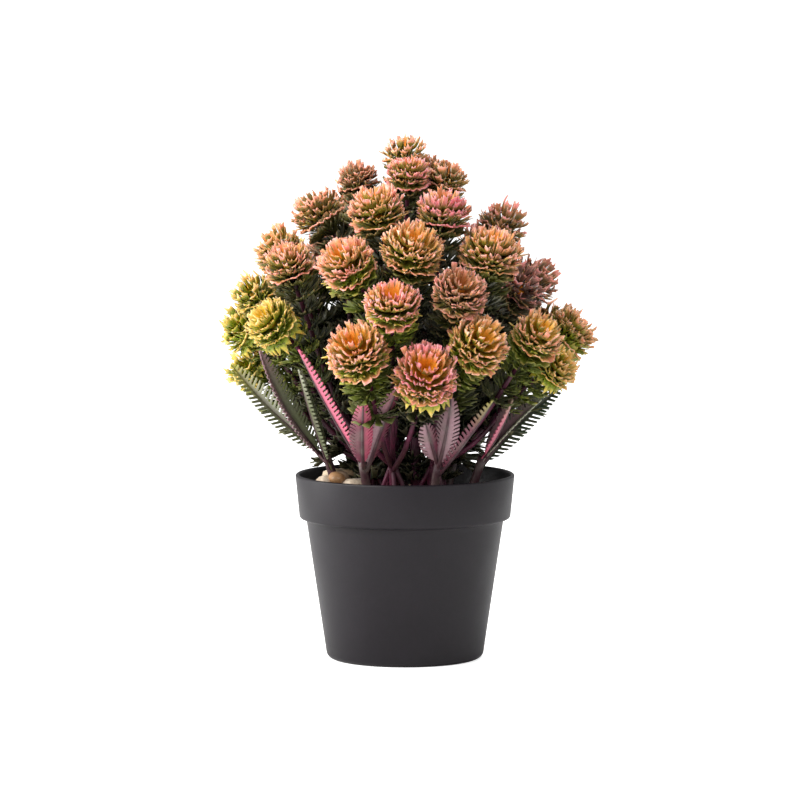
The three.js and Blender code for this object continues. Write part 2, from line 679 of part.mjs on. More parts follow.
// A comb leaf: a stalk that widens into a blade folded along its rib, with teeth on both
// edges; the same triangles on both faces
function leafGeometry(from, leaf) {
  const to = spot(leaf.heading, leaf.reach, leaf.height);
  const chord = to.clone().sub(from);
  const outward = spot(leaf.heading, 1, 0);
  const middle = from.clone().addScaledVector(chord, 0.5);
  middle.addScaledVector(outward, leaf.bow).addScaledVector(UP, -leaf.bow * 0.6);
  const curve = new THREE.QuadraticBezierCurve3(from, middle, to);
  const fold = THREE.MathUtils.degToRad(LEAF_FOLD);
  const roll = THREE.MathUtils.degToRad(leaf.roll);
  const points = [];
  const triangles = [];
  const frameAt = (share) => {
    const rib = curve.getPoint(share);
    const along = curve.getTangent(share).normalize();
    const side = new THREE.Vector3().crossVectors(outward, UP).normalize();
    side.applyAxisAngle(along, roll);
    const face = new THREE.Vector3().crossVectors(side, along).normalize();
    side.crossVectors(along, face).normalize();
    return { rib, side, face };
  };
  const add = (frame, across, rise) => {
    const point = frame.rib.clone();
    point.addScaledVector(frame.side, across * Math.cos(fold));
    point.addScaledVector(frame.face, Math.abs(across) * Math.sin(fold) + rise);
    points.push(point);
    return points.length - 1;
  };
  const halfAt = (share) => {
    const blade = Math.max(0, (share - LEAF_STALK) / (1 - LEAF_STALK));
    return STALK_HALF + (leaf.half - STALK_HALF) * Math.sin(Math.PI * blade ** 0.75) ** 0.7;
  };
  const half = LEAF_THICK / 2;
  const station = (share) => {
    const frame = frameAt(share);
    const width = halfAt(share) * (share > LEAF_STALK ? 1 - TOOTH_DEPTH : 1);
    return {
      ribTop: add(frame, 0, half * 1.3),
      ribLow: add(frame, 0, -half * 1.6),
      rightTop: add(frame, width, half),
      rightLow: add(frame, width, -half),
      leftTop: add(frame, -width, half),
      leftLow: add(frame, -width, -half),
    };
  };
  const strip = (from1, to1, toothShare) => {
    triangles.push([from1.ribTop, from1.rightTop, to1.ribTop]);
    triangles.push([from1.rightTop, to1.rightTop, to1.ribTop]);
    triangles.push([from1.ribTop, to1.ribTop, from1.leftTop]);
    triangles.push([from1.leftTop, to1.ribTop, to1.leftTop]);
    triangles.push([from1.ribLow, to1.ribLow, from1.rightLow]);
    triangles.push([from1.rightLow, to1.ribLow, to1.rightLow]);
    triangles.push([from1.ribLow, from1.leftLow, to1.ribLow]);
    triangles.push([from1.leftLow, to1.leftLow, to1.ribLow]);
    if (toothShare === null) {
      triangles.push([from1.rightTop, from1.rightLow, to1.rightTop]);
      triangles.push([from1.rightLow, to1.rightLow, to1.rightTop]);
      triangles.push([from1.leftTop, to1.leftTop, from1.leftLow]);
      triangles.push([from1.leftLow, to1.leftTop, to1.leftLow]);
      return;
    }
    const frame = frameAt(toothShare);
    const reach = halfAt(toothShare);
    const right = add(frame, reach, 0);
    const left = add(frame, -reach, 0);
    triangles.push([from1.rightTop, right, to1.rightTop]);
    triangles.push([from1.rightLow, to1.rightLow, right]);
    triangles.push([from1.rightTop, from1.rightLow, right]);
    triangles.push([to1.rightTop, right, to1.rightLow]);
    triangles.push([from1.leftTop, to1.leftTop, left]);
    triangles.push([from1.leftLow, left, to1.leftLow]);
    triangles.push([from1.leftTop, left, from1.leftLow]);
    triangles.push([to1.leftTop, to1.leftLow, left]);
  };
  const start = station(0);
  triangles.push([start.ribTop, start.ribLow, start.rightTop]);
  triangles.push([start.ribLow, start.rightLow, start.rightTop]);
  triangles.push([start.ribTop, start.leftTop, start.ribLow]);
  triangles.push([start.ribLow, start.leftTop, start.leftLow]);
  let last = station(LEAF_STALK);
  strip(start, last, null);
  const pitch = (0.96 - LEAF_STALK) / LEAF_TEETH;
  for (let tooth = 0; tooth < LEAF_TEETH; tooth += 1) {
    const share = LEAF_STALK + (tooth + 1) * pitch;
    const next = station(share);
    strip(last, next, Math.min(0.985, share + pitch * 0.25));
    last = next;
  }
  const end = add(frameAt(1), 0, 0);
  triangles.push([last.ribTop, last.rightTop, end], [last.ribTop, end, last.leftTop]);
  triangles.push([last.ribLow, end, last.rightLow], [last.ribLow, last.leftLow, end]);
  triangles.push([last.rightTop, last.rightLow, end], [last.leftTop, end, last.leftLow]);
  return facetsOf(points, triangles);
}

function makeTuft(index, foot, leaves) {
  let tuft = tubeAlong(new THREE.LineCurve3(foot.start, foot.end), foot.radius, 6, 1);
  leaves.forEach((leaf, place) => {
    const sunk = foot.end.clone().lerp(foot.start, 0.04 + 0.08 * place);
    tuft = tuft.add(solidOf(leafGeometry(sunk, leaf)));
  });
  return meshOf(`leaf_tuft_${index + 1}`, geometryOf(tuft), MAUVE);
}

const bush = new THREE.Group();
const heads = placeHeads();
const stems = sprayFeet();
const tufts = tuftFeet();
const everyFoot = [...stems, ...tufts];

bush.add(makePot());
bush.add(makeFiller(everyFoot));
bush.add(makePebbles(everyFoot));
bush.add(...spraysFor(heads, stems));
bush.add(...tufts.map((foot, index) => makeTuft(index, foot, TUFTS[index].leaves)));
bush.add(...heads.map((head) => makeHead(head)));

export default bush;
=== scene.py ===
# %% [markdown]
# # A potted bush of artificial lavender
#
# The object is a tapered plastic pot with a bush of moulded plastic in it: rosette heads on
# thin stems, dark whorls of needles between them, and comb-edged leaves round the foot.
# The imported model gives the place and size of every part. This script dresses it, so each
# cell either reads the frame or builds one kind of piece round it. Lengths are metres.

# %% Load the frame
import math
import random

import bmesh
import bpy
import numpy as np
from mathutils import Matrix, Vector


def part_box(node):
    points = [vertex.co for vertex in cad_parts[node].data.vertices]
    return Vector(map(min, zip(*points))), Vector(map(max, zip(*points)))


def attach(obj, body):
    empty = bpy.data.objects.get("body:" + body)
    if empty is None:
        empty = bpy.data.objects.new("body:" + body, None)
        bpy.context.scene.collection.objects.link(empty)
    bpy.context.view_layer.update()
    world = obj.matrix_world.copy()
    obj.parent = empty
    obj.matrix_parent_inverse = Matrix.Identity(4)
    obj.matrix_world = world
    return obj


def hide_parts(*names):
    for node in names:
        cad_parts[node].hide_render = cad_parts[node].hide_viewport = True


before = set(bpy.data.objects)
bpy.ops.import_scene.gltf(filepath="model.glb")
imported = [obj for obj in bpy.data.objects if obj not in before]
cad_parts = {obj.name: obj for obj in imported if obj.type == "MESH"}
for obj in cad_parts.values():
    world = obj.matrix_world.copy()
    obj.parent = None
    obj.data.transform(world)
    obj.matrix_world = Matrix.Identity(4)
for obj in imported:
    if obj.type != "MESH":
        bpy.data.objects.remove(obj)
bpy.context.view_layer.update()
MM = 0.001

# %% [markdown]
# ## Pieces
#
# Every piece ends the same way: points and faces become a mesh, the mesh gets a material
# and smooth shading, and the piece rides on the one body of the row. A mask is a number
# for each point, such as how near it lies to a tip. Painting in the viewport could give
# such numbers too, but here the code that places a point already knows them.

# %% Make a piece
def make_piece(name, clay, material, stands_for=()):
    """A piece from a Clay, riding on the root body in the place of the nodes it stands for."""
    mesh = bpy.data.meshes.new(name)
    mesh.from_pydata(clay.points, [], clay.faces)
    mesh.materials.append(material)
    for mask, values in clay.masks.items():
        layer = mesh.attributes.new(mask, "FLOAT", "POINT")
        layer.data.foreach_set("value", values)
    mesh.shade_smooth()
    mesh.update()
    piece = bpy.data.objects.new(name, mesh)
    bpy.context.scene.collection.objects.link(piece)
    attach(piece, "root")
    if stands_for:
        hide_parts(*stands_for)
    return piece


class Clay:
    """Points, faces and masks that several forms are gathered in before they are a mesh."""

    def __init__(self, *masks):
        self.points = []
        self.faces = []
        self.masks = {mask: [] for mask in masks}

    def add(self, points, faces, **masks):
        start = len(self.points)
        self.points.extend(np.asarray(points).tolist())
        for face in faces:
            self.faces.append([int(corner) + start for corner in face])
        for mask, values in self.masks.items():
            given = np.broadcast_to(masks.get(mask, 0.0), (len(points),))
            values.extend(given.tolist())

    def triangles(self):
        return sum(len(face) - 2 for face in self.faces)


# %% [markdown]
# ## Thin moulded sheets
#
# Bracts and comb leaves are the same kind of thing: a thin sheet of plastic with a cut
# edge. A Solidify modifier could thicken a flat mesh, but it bulges where an edge has
# teeth. Here a sheet is a formula of two numbers, u across and v along. The formula also
# gives the direction that the thickness grows in, so teeth stay as thin as the rest.

# %% Thick sheets
STEP = 1e-3
TINY = 1e-12


def unit(vectors):
    """Vectors of length one."""
    lengths = np.linalg.norm(vectors, axis=-1, keepdims=True)
    return vectors / np.maximum(lengths, TINY)


def thick_sheet(surface, u, v, thick, wraps):
    """Points and faces of a closed sheet round surface(u, v); u and v are grids of rows by
    columns, and the last column meets the first where the sheet wraps."""
    middle = surface(u, v)
    across = surface(u + STEP, v) - surface(u - STEP, v)
    along = surface(u, v + STEP) - surface(u, v - STEP)
    rise = unit(np.cross(across, along)) * (np.asarray(thick)[..., None] / 2)
    rows, columns = u.shape
    points = np.concatenate([(middle + rise).reshape(-1, 3), (middle - rise).reshape(-1, 3)])
    index = np.arange(rows * columns).reshape(rows, columns)
    nexts = np.roll(index, -1, axis=1) if wraps else index[:, 1:]
    heres = index if wraps else index[:, :-1]
    under = rows * columns
    top = np.stack([heres[:-1], nexts[:-1], nexts[1:], heres[1:]], axis=-1).reshape(-1, 4)
    low = top[:, ::-1] + under
    first = np.stack([heres[0], heres[0] + under, nexts[0] + under, nexts[0]], axis=-1)
    last = np.stack([heres[-1], nexts[-1], nexts[-1] + under, heres[-1] + under], axis=-1)
    faces = [top, low, first, last]
    if not wraps:
        left = index[:, 0]
        right = index[:, -1]
        faces.append(np.stack([left[:-1], left[1:], left[1:] + under, left[:-1] + under], axis=-1))
        faces.append(np.stack([right[:-1], right[:-1] + under, right[1:] + under, right[1:]], axis=-1))
    return points, np.concatenate(faces)


def both_sides(values):
    """A mask of a grid, once for each face of its sheet."""
    flat = np.asarray(values).ravel()
    return np.concatenate([flat, flat])


# %% [markdown]
# ## Turned and drawn forms
#
# The pot is a turned form, and stems and ribs are tubes that follow a path. Blender's Screw
# modifier and bevelled curves make these as well. Points made here keep the mesh closed and
# even, and let a tube taper along its way.

# %% Turned forms and tubes
OFF_AXIS = (0.31, 0.17, 0.93)


def turned(clay, profile, sides, **masks):
    """Adds a solid of revolution; the profile's first and last points lie on the axis."""
    points = [(0.0, 0.0, profile[0][1])]
    for reach, height in profile[1:-1]:
        for side in range(sides):
            angle = 2 * math.pi * side / sides
            points.append((reach * math.cos(angle), reach * math.sin(angle), height))
    points.append((0.0, 0.0, profile[-1][1]))
    faces = []
    rings = len(profile) - 2
    for side in range(sides):
        following = (side + 1) % sides
        faces.append((0, 1 + following, 1 + side))
        for ring in range(rings - 1):
            low = 1 + ring * sides
            high = low + sides
            faces.append((low + side, low + following, high + following, high + side))
        last = 1 + (rings - 1) * sides
        faces.append((last + side, last + following, len(points) - 1))
    clay.add(points, faces, **masks)


def tube(clay, path, radii, sides, **masks):
    """Adds a closed tube along a path of points, with a radius for each point. OFF_AXIS is a
    direction that no stem starts in, so it gives the first ring a side to start from."""
    path = np.asarray(path, dtype=float)
    ways = unit(np.gradient(path, axis=0))
    side = unit(np.cross(ways[0], OFF_AXIS))
    angles = np.arange(sides) * 2 * math.pi / sides
    points = []
    for place, way, radius in zip(path, ways, radii):
        side = unit(side - way * np.dot(side, way))
        face = np.cross(way, side)
        ring = np.outer(np.cos(angles), side) + np.outer(np.sin(angles), face)
        points.append(place + radius * ring)
    faces = [tuple(range(sides))[::-1]]
    for ring in range(len(path) - 1):
        low = ring * sides
        for step in range(sides):
            following = (step + 1) % sides
            faces.append((low + step, low + following, low + sides + following, low + sides + step))
    top = (len(path) - 1) * sides
    faces.append(tuple(range(top, top + sides)))
    clay.add(np.concatenate(points), faces, **masks)


def bezier(start, middle, end, share):
    """Points of a quadratic curve at each share of its way."""
    share = np.asarray(share)[..., None]
    return (1 - share) ** 2 * start + 2 * share * (1 - share) * middle + share**2 * end


def spot(heading, reach, height):
    """A point from its heading in degrees (0 in front, positive to the right)."""
    angle = math.radians(heading)
    return np.array((reach * math.sin(angle), -reach * math.cos(angle), height))


# %% [markdown]
# ## Shared effects
#
# All the plastics here were moulded and then sprayed, so two effects come back in several
# materials. One breaks a colour up into soft clouds of a second one, as overspray does. The
# other is the fine grain of a moulded surface, as a height for a Bump node and a spread of
# roughness. Each is a node group, built once and placed in a material with its own values.

# %% Shader node groups
def new_group(name, inputs, outputs):
    """An empty shader group with named sockets, and its input and output nodes."""
    group = bpy.data.node_groups.new(name, "ShaderNodeTree")
    for label, kind, value in inputs:
        socket = group.interface.new_socket(label, in_out="INPUT", socket_type=kind)
        socket.default_value = value
    for label, kind in outputs:
        group.interface.new_socket(label, in_out="OUTPUT", socket_type=kind)
    entry = group.nodes.new("NodeGroupInput")
    leave = group.nodes.new("NodeGroupOutput")
    return group, entry, leave


def add_noise(tree, place, scale, detail):
    """A noise texture read at a place in the object."""
    cloud = tree.nodes.new("ShaderNodeTexNoise")
    cloud.inputs["Detail"].default_value = detail
    tree.links.new(place, cloud.inputs["Vector"])
    if isinstance(scale, (int, float)):
        cloud.inputs["Scale"].default_value = scale
    else:
        tree.links.new(scale, cloud.inputs["Scale"])
    return cloud.outputs["Fac"]


def add_ramp(tree, value, low, high):
    """A soft step of a value from 0 at low to 1 at high."""
    step = tree.nodes.new("ShaderNodeMapRange")
    step.interpolation_type = "SMOOTHSTEP"
    step.inputs["From Min"].default_value = low
    step.inputs["From Max"].default_value = high
    tree.links.new(value, step.inputs["Value"])
    return step.outputs["Result"]


def add_maths(tree, operation, one, other):
    """A maths node on two values, each a socket or a number."""
    node = tree.nodes.new("ShaderNodeMath")
    node.operation = operation
    for socket, value in zip(node.inputs, (one, other)):
        if isinstance(value, (int, float)):
            socket.default_value = value
        else:
            tree.links.new(value, socket)
    return node.outputs["Value"]


def add_line(tree, value, gain, start):
    """A value times a gain, counted from a start."""
    line = add_maths(tree, "MULTIPLY_ADD", value, gain)
    line.node.inputs[2].default_value = start
    return line


def add_mix(tree, share, one, other):
    """A mix of two colours, each a socket or a colour."""
    node = tree.nodes.new("ShaderNodeMix")
    node.data_type = "RGBA"
    for socket, value in ((node.inputs[0], share), (node.inputs[6], one), (node.inputs[7], other)):
        if isinstance(value, (int, float, tuple)):
            socket.default_value = value
        else:
            tree.links.new(value, socket)
    return node.outputs[2]


CLOUD_EDGES = (0.42, 0.66)
FINE_SCALE = 900.0
BROAD_SCALE = 60.0


def make_overspray():
    """Soft clouds of a second colour over the first, with a fine change of lightness."""
    group, entry, leave = new_group(
        "Overspray",
        [
            ("Color", "NodeSocketColor", (0.5, 0.5, 0.5, 1)),
            ("Spray", "NodeSocketColor", (0.8, 0.4, 0.4, 1)),
            ("Amount", "NodeSocketFloat", 0.5),
            ("Scale", "NodeSocketFloat", 90.0),
        ],
        [("Color", "NodeSocketColor")],
    )
    place = group.nodes.new("ShaderNodeTexCoord").outputs["Object"]
    cloud = add_noise(group, place, entry.outputs["Scale"], 3.0)
    mask = add_ramp(group, cloud, *CLOUD_EDGES)
    share = add_maths(group, "MULTIPLY", mask, entry.outputs["Amount"])
    mixed = add_mix(group, share, entry.outputs["Color"], entry.outputs["Spray"])
    fine = add_noise(group, place, FINE_SCALE, 2.0)
    shade = group.nodes.new("ShaderNodeHueSaturation")
    group.links.new(add_line(group, fine, 0.5, 0.75), shade.inputs["Value"])
    group.links.new(mixed, shade.inputs["Color"])
    group.links.new(shade.outputs["Color"], leave.inputs["Color"])
    return group


def make_grain():
    """The fine height of a moulded surface, and a roughness that changes slowly over it."""
    group, entry, leave = new_group(
        "Moulded grain",
        [
            ("Scale", "NodeSocketFloat", 2500.0),
            ("Roughness", "NodeSocketFloat", 0.5),
            ("Spread", "NodeSocketFloat", 0.15),
        ],
        [("Roughness", "NodeSocketFloat"), ("Height", "NodeSocketFloat")],
    )
    place = group.nodes.new("ShaderNodeTexCoord").outputs["Object"]
    fine = add_noise(group, place, entry.outputs["Scale"], 4.0)
    broad = add_noise(group, place, BROAD_SCALE, 2.0)
    turn = add_maths(group, "SUBTRACT", broad, 0.5)
    change = add_maths(group, "MULTIPLY", turn, entry.outputs["Spread"])
    rough = add_maths(group, "ADD", change, entry.outputs["Roughness"])
    group.links.new(rough, leave.inputs["Roughness"])
    group.links.new(fine, leave.inputs["Height"])
    return group


OVERSPRAY = make_overspray()
GRAIN = make_grain()
print("Shader groups:", OVERSPRAY.name, "and", GRAIN.name)

# %% [markdown]
# ## A plastic to start from
#
# Colours are easier to judge as they look on a screen, from 0 to 255, so a small helper turns
# them into the linear values that a shader works with. A second one starts a material with
# the moulded grain already on it, a third one paints it, and a fourth lets a little light
# through, as the soft thin heads do. Constants go on the shader's own sockets.

# %% Colours and the plastic base
LIGHT_REACH = 1.2 * MM


def screen(red, green, blue):
    """A linear colour from the red, green and blue of a screen."""
    parts = [part / 255 for part in (red, green, blue)]
    return tuple(p / 12.92 if p <= 0.04045 else ((p + 0.055) / 1.055) ** 2.4 for p in parts) + (1.0,)


def place_group(tree, group, **values):
    """A node that uses a group, with its inputs set or linked by name."""
    node = tree.nodes.new("ShaderNodeGroup")
    node.node_tree = group
    for label, value in values.items():
        socket = node.inputs[label]
        if isinstance(value, (int, float, tuple)):
            socket.default_value = value
        else:
            tree.links.new(value, socket)
    return node


def plastic(name, roughness, spread, grain_scale, grain_depth):
    """A material with the moulded grain on it; returns it with its tree and shader."""
    material = bpy.data.materials.new(name)
    material.use_nodes = True
    tree = material.node_tree
    shader = tree.nodes["Principled BSDF"]
    grain = place_group(tree, GRAIN, Scale=grain_scale, Roughness=roughness, Spread=spread)
    bump = tree.nodes.new("ShaderNodeBump")
    bump.inputs["Distance"].default_value = grain_depth
    tree.links.new(grain.outputs["Height"], bump.inputs["Height"])
    tree.links.new(grain.outputs["Roughness"], shader.inputs["Roughness"])
    tree.links.new(bump.outputs["Normal"], shader.inputs["Normal"])
    return material, tree, shader


def paint(tree, shader, color, spray, amount, scale):
    """Gives a plastic its colour, a socket or a colour, with clouds of a sprayed one."""
    body = place_group(tree, OVERSPRAY, Color=color, Spray=spray, Amount=amount, Scale=scale)
    tree.links.new(body.outputs["Color"], shader.inputs["Base Color"])


def soften(shader, weight):
    """Lets some light through a thin soft plastic, the red part furthest."""
    shader.inputs["Subsurface Weight"].default_value = weight
    shader.inputs["Subsurface Radius"].default_value = (1.0, 0.6, 0.35)
    shader.inputs["Subsurface Scale"].default_value = LIGHT_REACH


def read_mask(tree, name):
    """The mask that a mesh carries under a name."""
    node = tree.nodes.new("ShaderNodeAttribute")
    node.attribute_name = name
    return node.outputs["Fac"]


# %% [markdown]
# ## Pot
#
# The pot is a thin injection-moulded shell: a tapered body, a step out to a plain upright
# band, and a soft lip. It has no holes in its sides, so a turned profile gives all of it.
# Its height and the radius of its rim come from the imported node's box, and the other sizes
# are named here. The finish is satin charcoal, with soft clouds hardly lighter than the rest.

# %% Pot profile
pot_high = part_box("pot")[1]
RIM_RADIUS = pot_high.x
POT_HEIGHT = pot_high.z
BAND_HEIGHT = 17 * MM
BAND_FOOT_RADIUS = 43.4 * MM
BODY_TOP_RADIUS = 40.5 * MM
FOOT_RADIUS = 32.4 * MM
FOOT_ROUND = 3 * MM
POT_WALL = 1.5 * MM
POT_FLOOR = 2 * MM
LIP_ROUND = 0.8 * MM
LIP_DEPTH = 2 * MM
LIP_SWELL = 0.2 * MM
LEDGE_ROUND = 1.2 * MM
INNER_STEP = 2.3 * MM
INNER_CHAMFER = 1 * MM
POT_SIDES = 128
# How the body eases out to the band: places outwards and upwards from the band's foot
BAND_EASE = [(-0.3 * MM, -4 * MM), (0.0, -2.2 * MM), (0.5 * MM, -1.2 * MM)]


def arc(middle_reach, middle_height, radius, start, end, steps):
    """Points of a round corner of the profile, from one angle to another in degrees."""
    angles = [math.radians(start + (end - start) * step / steps) for step in range(steps + 1)]
    return [
        (middle_reach + radius * math.cos(angle), middle_height + radius * math.sin(angle))
        for angle in angles
    ]


def pot_profile():
    """Places out from the axis and up: over the outside to the lip, and down the inside."""
    band_foot = POT_HEIGHT - BAND_HEIGHT
    profile = [(0.0, 0.0)]
    profile += arc(FOOT_RADIUS - FOOT_ROUND, FOOT_ROUND, FOOT_ROUND, -90, -8, 6)
    profile += [(BODY_TOP_RADIUS + out, band_foot + up) for out, up in BAND_EASE]
    profile += arc(BAND_FOOT_RADIUS - LEDGE_ROUND, band_foot, LEDGE_ROUND, -75, 0, 4)
    profile += arc(RIM_RADIUS - LIP_ROUND, POT_HEIGHT - LIP_ROUND, LIP_ROUND, 0, 180, 8)
    profile += [
        (RIM_RADIUS - POT_WALL - LIP_SWELL, POT_HEIGHT - LIP_DEPTH),
        (BAND_FOOT_RADIUS - POT_WALL, band_foot + INNER_STEP),
        (BODY_TOP_RADIUS - POT_WALL, band_foot - INNER_STEP),
        (FOOT_RADIUS - POT_WALL, POT_FLOOR + INNER_CHAMFER),
        (FOOT_RADIUS - POT_WALL - INNER_CHAMFER, POT_FLOOR),
        (0.0, POT_FLOOR),
    ]
    return profile


# %% Charcoal plastic
def make_charcoal():
    material, tree, shader = plastic("Charcoal plastic", 0.44, 0.12, 2600.0, 0.00003)
    paint(tree, shader, screen(18, 13, 20), screen(22, 17, 24), 0.7, 55.0)
    shader.inputs["Specular IOR Level"].default_value = 0.32
    return material


# %% Pot piece
pot_clay = Clay()
turned(pot_clay, pot_profile(), POT_SIDES)
make_piece("pot_shell", pot_clay, make_charcoal(), ["pot"])
print("Pot:", pot_clay.triangles(), "triangles")

# %% [markdown]
# ## Filler
#
# A cast block fills the pot and holds the stems. Pebbles cover it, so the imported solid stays
# and only gets a material: a dull, pitted plaster.

# %% Filler finish
def make_plaster():
    material, tree, shader = plastic("Cast filler", 0.92, 0.05, 700.0, 0.0004)
    paint(tree, shader, screen(150, 142, 126), screen(118, 108, 92), 0.8, 140.0)
    return material


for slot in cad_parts["filler"].material_slots:
    slot.material = make_plaster()
print("Filler: packed solid with a plaster finish")

# %% [markdown]
# ## Stems in their holes
#
# Five sprays stand round a leader, and six tufts of leaves stand outside them. Where each
# one stands is needed twice: by the pebbles, which keep clear of it, and by the stems. The
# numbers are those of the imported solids, so that every stem lies in its solid.

# %% Stem feet
FILLER_TOP = 61 * MM
FOOT_DEPTH = 10 * MM
FORK_HEIGHT = 86 * MM
SPRAY_COUNT = 5
SPRAY_FIRST_HEADING = -20
SPRAY_FOOT_REACH = 10 * MM
SPRAY_FORK_REACH = 16 * MM
LEADER_HEADING = 120
LEADER_REACH = 5 * MM
LEADER_FORK_HEIGHT = 152 * MM
LEADER_FROM_HEIGHT = 196 * MM
TUFT_FOOT_REACH = 22 * MM
TUFT_FORK_REACH = 33 * MM
TUFT_FORK_HEIGHT = 84 * MM
TUFT_HEADINGS = [-76, -32, 24, 74, 140, -140]


def foot(heading, foot_reach, fork_reach, fork_height):
    """Lowest point of a stem in the filler, and the point where it forks."""
    low = spot(heading, foot_reach, FILLER_TOP - FOOT_DEPTH)
    return low, spot(heading, fork_reach, fork_height)


spray_headings = [SPRAY_FIRST_HEADING + 360 * number / SPRAY_COUNT for number in range(SPRAY_COUNT)]
spray_feet = [
    foot(heading, SPRAY_FOOT_REACH, SPRAY_FORK_REACH, FORK_HEIGHT) for heading in spray_headings
]
spray_feet.append(foot(LEADER_HEADING, LEADER_REACH, LEADER_REACH, FORK_HEIGHT))
tuft_feet = [
    foot(heading, TUFT_FOOT_REACH, TUFT_FORK_REACH, TUFT_FORK_HEIGHT) for heading in TUFT_HEADINGS
]
print("Stems:", len(spray_feet), "sprays and", len(tuft_feet), "tufts")

# %% [markdown]
# ## Pebbles
#
# Washed pebbles cover the filler, heaped against the rim on the left. A particle system
# could scatter them, but the export drops particles, so each stone is its own small closed
# form: an icosphere, flattened and pushed in and out by smooth noise. A sunflower pattern
# spreads them evenly without chance gaps, and a number kept on each stone picks its colour.

# %% Pebble forms
BED_TOP = 67 * MM
BED_RADIUS = 41.2 * MM
HEAP = spot(-80, 28 * MM, 0)
HEAP_RISE = 10 * MM
HEAP_FOOT = 13 * MM
HEAP_FLAT = 7 * MM
GOLDEN_ANGLE = 137.508
PEBBLE_COUNT = 150
PEBBLE_SINK = 0.35
STEM_ROOM = 0.7
BED_SLAB_LIFT = 0.3 * MM
BED_SLAB_DROP = 2 * MM
BED_SIDES = 48
WEAR_DEPTH = 0.09
WEAR_SPREAD = 1.7
WEAR_WAVES = np.array([[2.1, 0.4, 1.1], [0.3, 1.9, -0.8], [1.2, -0.6, 1.7]])
PEBBLE_SIZES = (2.6, 4.6)
PEBBLE_SEED = 11
dice = random.Random(PEBBLE_SEED)


def bed_height(x, y):
    """Height of the pebble bed, level with a heap on it."""
    away = math.hypot(x - HEAP[0], y - HEAP[1])
    share = min(1.0, max(0.0, (HEAP_FOOT - away) / (HEAP_FOOT - HEAP_FLAT)))
    return BED_TOP + HEAP_RISE * share


def stone_form():
    """Points and faces of a round stone of radius one."""
    ball = bmesh.new()
    bmesh.ops.create_icosphere(ball, subdivisions=2, radius=1.0)
    points = np.array([tuple(vertex.co) for vertex in ball.verts])
    faces = [[vertex.index for vertex in face.verts] for face in ball.faces]
    ball.free()
    return points, faces


def stems_near(x, y, height, room):
    """True where a stem passes within a distance of a point of the bed."""
    for low, high in spray_feet + tuft_feet:
        share = (height - low[2]) / (high[2] - low[2])
        stem = low + (high - low) * share
        if math.hypot(stem[0] - x, stem[1] - y) < room:
            return True
    return False


def worn(points):
    """A stone's points pushed in and out, so that no two stones are alike."""
    turn = np.array([dice.uniform(0, 6) for _ in range(3)])
    waves = np.sin(points @ WEAR_WAVES + turn)
    shaped = points * (1 + WEAR_DEPTH * waves.sum(axis=1, keepdims=True) / WEAR_SPREAD)
    long = dice.uniform(1.0, 1.28)
    return shaped * np.array([long, dice.uniform(0.8, 1.0), dice.uniform(0.55, 0.75)])


# %% Pebble finish
def make_pebble_stone():
    material, tree, shader = plastic("Washed pebbles", 0.62, 0.25, 1500.0, 0.00012)
    place = tree.nodes.new("ShaderNodeTexCoord").outputs["Object"]
    kind = tree.nodes.new("ShaderNodeValToRGB")
    kind.color_ramp.interpolation = "CONSTANT"
    stones = [
        (0.0, screen(226, 208, 186)),
        (0.3, screen(205, 176, 142)),
        (0.5, screen(170, 128, 88)),
        (0.66, screen(216, 196, 168)),
        (0.8, screen(140, 118, 98)),
        (0.92, screen(190, 180, 170)),
    ]
    ramp = kind.color_ramp.elements
    ramp[0].color = stones[0][1]
    ramp[1].position, ramp[1].color = stones[1]
    for position, color in stones[2:]:
        ramp.new(position).color = color
    tree.links.new(read_mask(tree, "stone"), kind.inputs["Fac"])
    clouded = place_group(
        tree,
        OVERSPRAY,
        Color=kind.outputs["Color"],
        Spray=screen(120, 92, 66),
        Amount=0.4,
        Scale=420.0,
    )
    streak = add_ramp(tree, add_noise(tree, place, 260.0, 5.0), 0.6, 0.72)
    share = add_maths(tree, "MULTIPLY", streak, 0.35)
    veined = add_mix(tree, share, clouded.outputs["Color"], screen(240, 230, 214))
    tree.links.new(veined, shader.inputs["Base Color"])
    return material


# %% Pebble bed
def make_pebbles():
    """The slab inside the bed, and the stones that lie in it and on it."""
    clay = Clay("stone")
    low = FILLER_TOP + BED_SLAB_LIFT
    level = BED_TOP - BED_SLAB_DROP
    slab = [(0, low), (BED_RADIUS, low), (BED_RADIUS, level), (0, level)]
    turned(clay, slab, BED_SIDES, stone=0.85)
    points, faces = stone_form()
    placed = 0
    for number in range(PEBBLE_COUNT):
        size = dice.uniform(*PEBBLE_SIZES) * MM
        reach = math.sqrt((number + 0.5) / PEBBLE_COUNT) * (BED_RADIUS - size)
        x, y, _ = spot(number * GOLDEN_ANGLE, reach, 0)
        height = bed_height(x, y) - size * PEBBLE_SINK
        if stems_near(x, y, height, size * STEM_ROOM):
            continue
        stone = worn(points) * size
        spin = Matrix.Rotation(dice.uniform(0, math.pi), 3, "Z")
        lean = Matrix.Rotation(dice.uniform(-0.5, 0.5), 3, "X")
        stone = stone @ np.array(spin @ lean).T + np.array((x, y, height))
        clay.add(stone, faces, stone=dice.random())
        placed += 1
    print("Pebbles:", placed, "stones,", clay.triangles(), "triangles")
    return make_piece("pebble_bed", clay, make_pebble_stone(), ["pebbles"])


make_pebbles()

# %% [markdown]
# ## Where the heads are
#
# Each packed head is a faceted rosette round one axis. The two points where most edges meet
# are the hub under it and the throat in its cup. So the mesh itself tells where the axis
# runs, how wide the head is and which way it faces, and no list of places is needed here.

# %% Read the heads from the frame
HUB_DEPTH = 0.7
FULL_HEAD_POINTS = 90
FULL_HUB_TO_THROAT = 0.92
SMALL_HUB_TO_THROAT = 0.9
BUSH_MIDDLE = Vector((0, 0, 110 * MM))


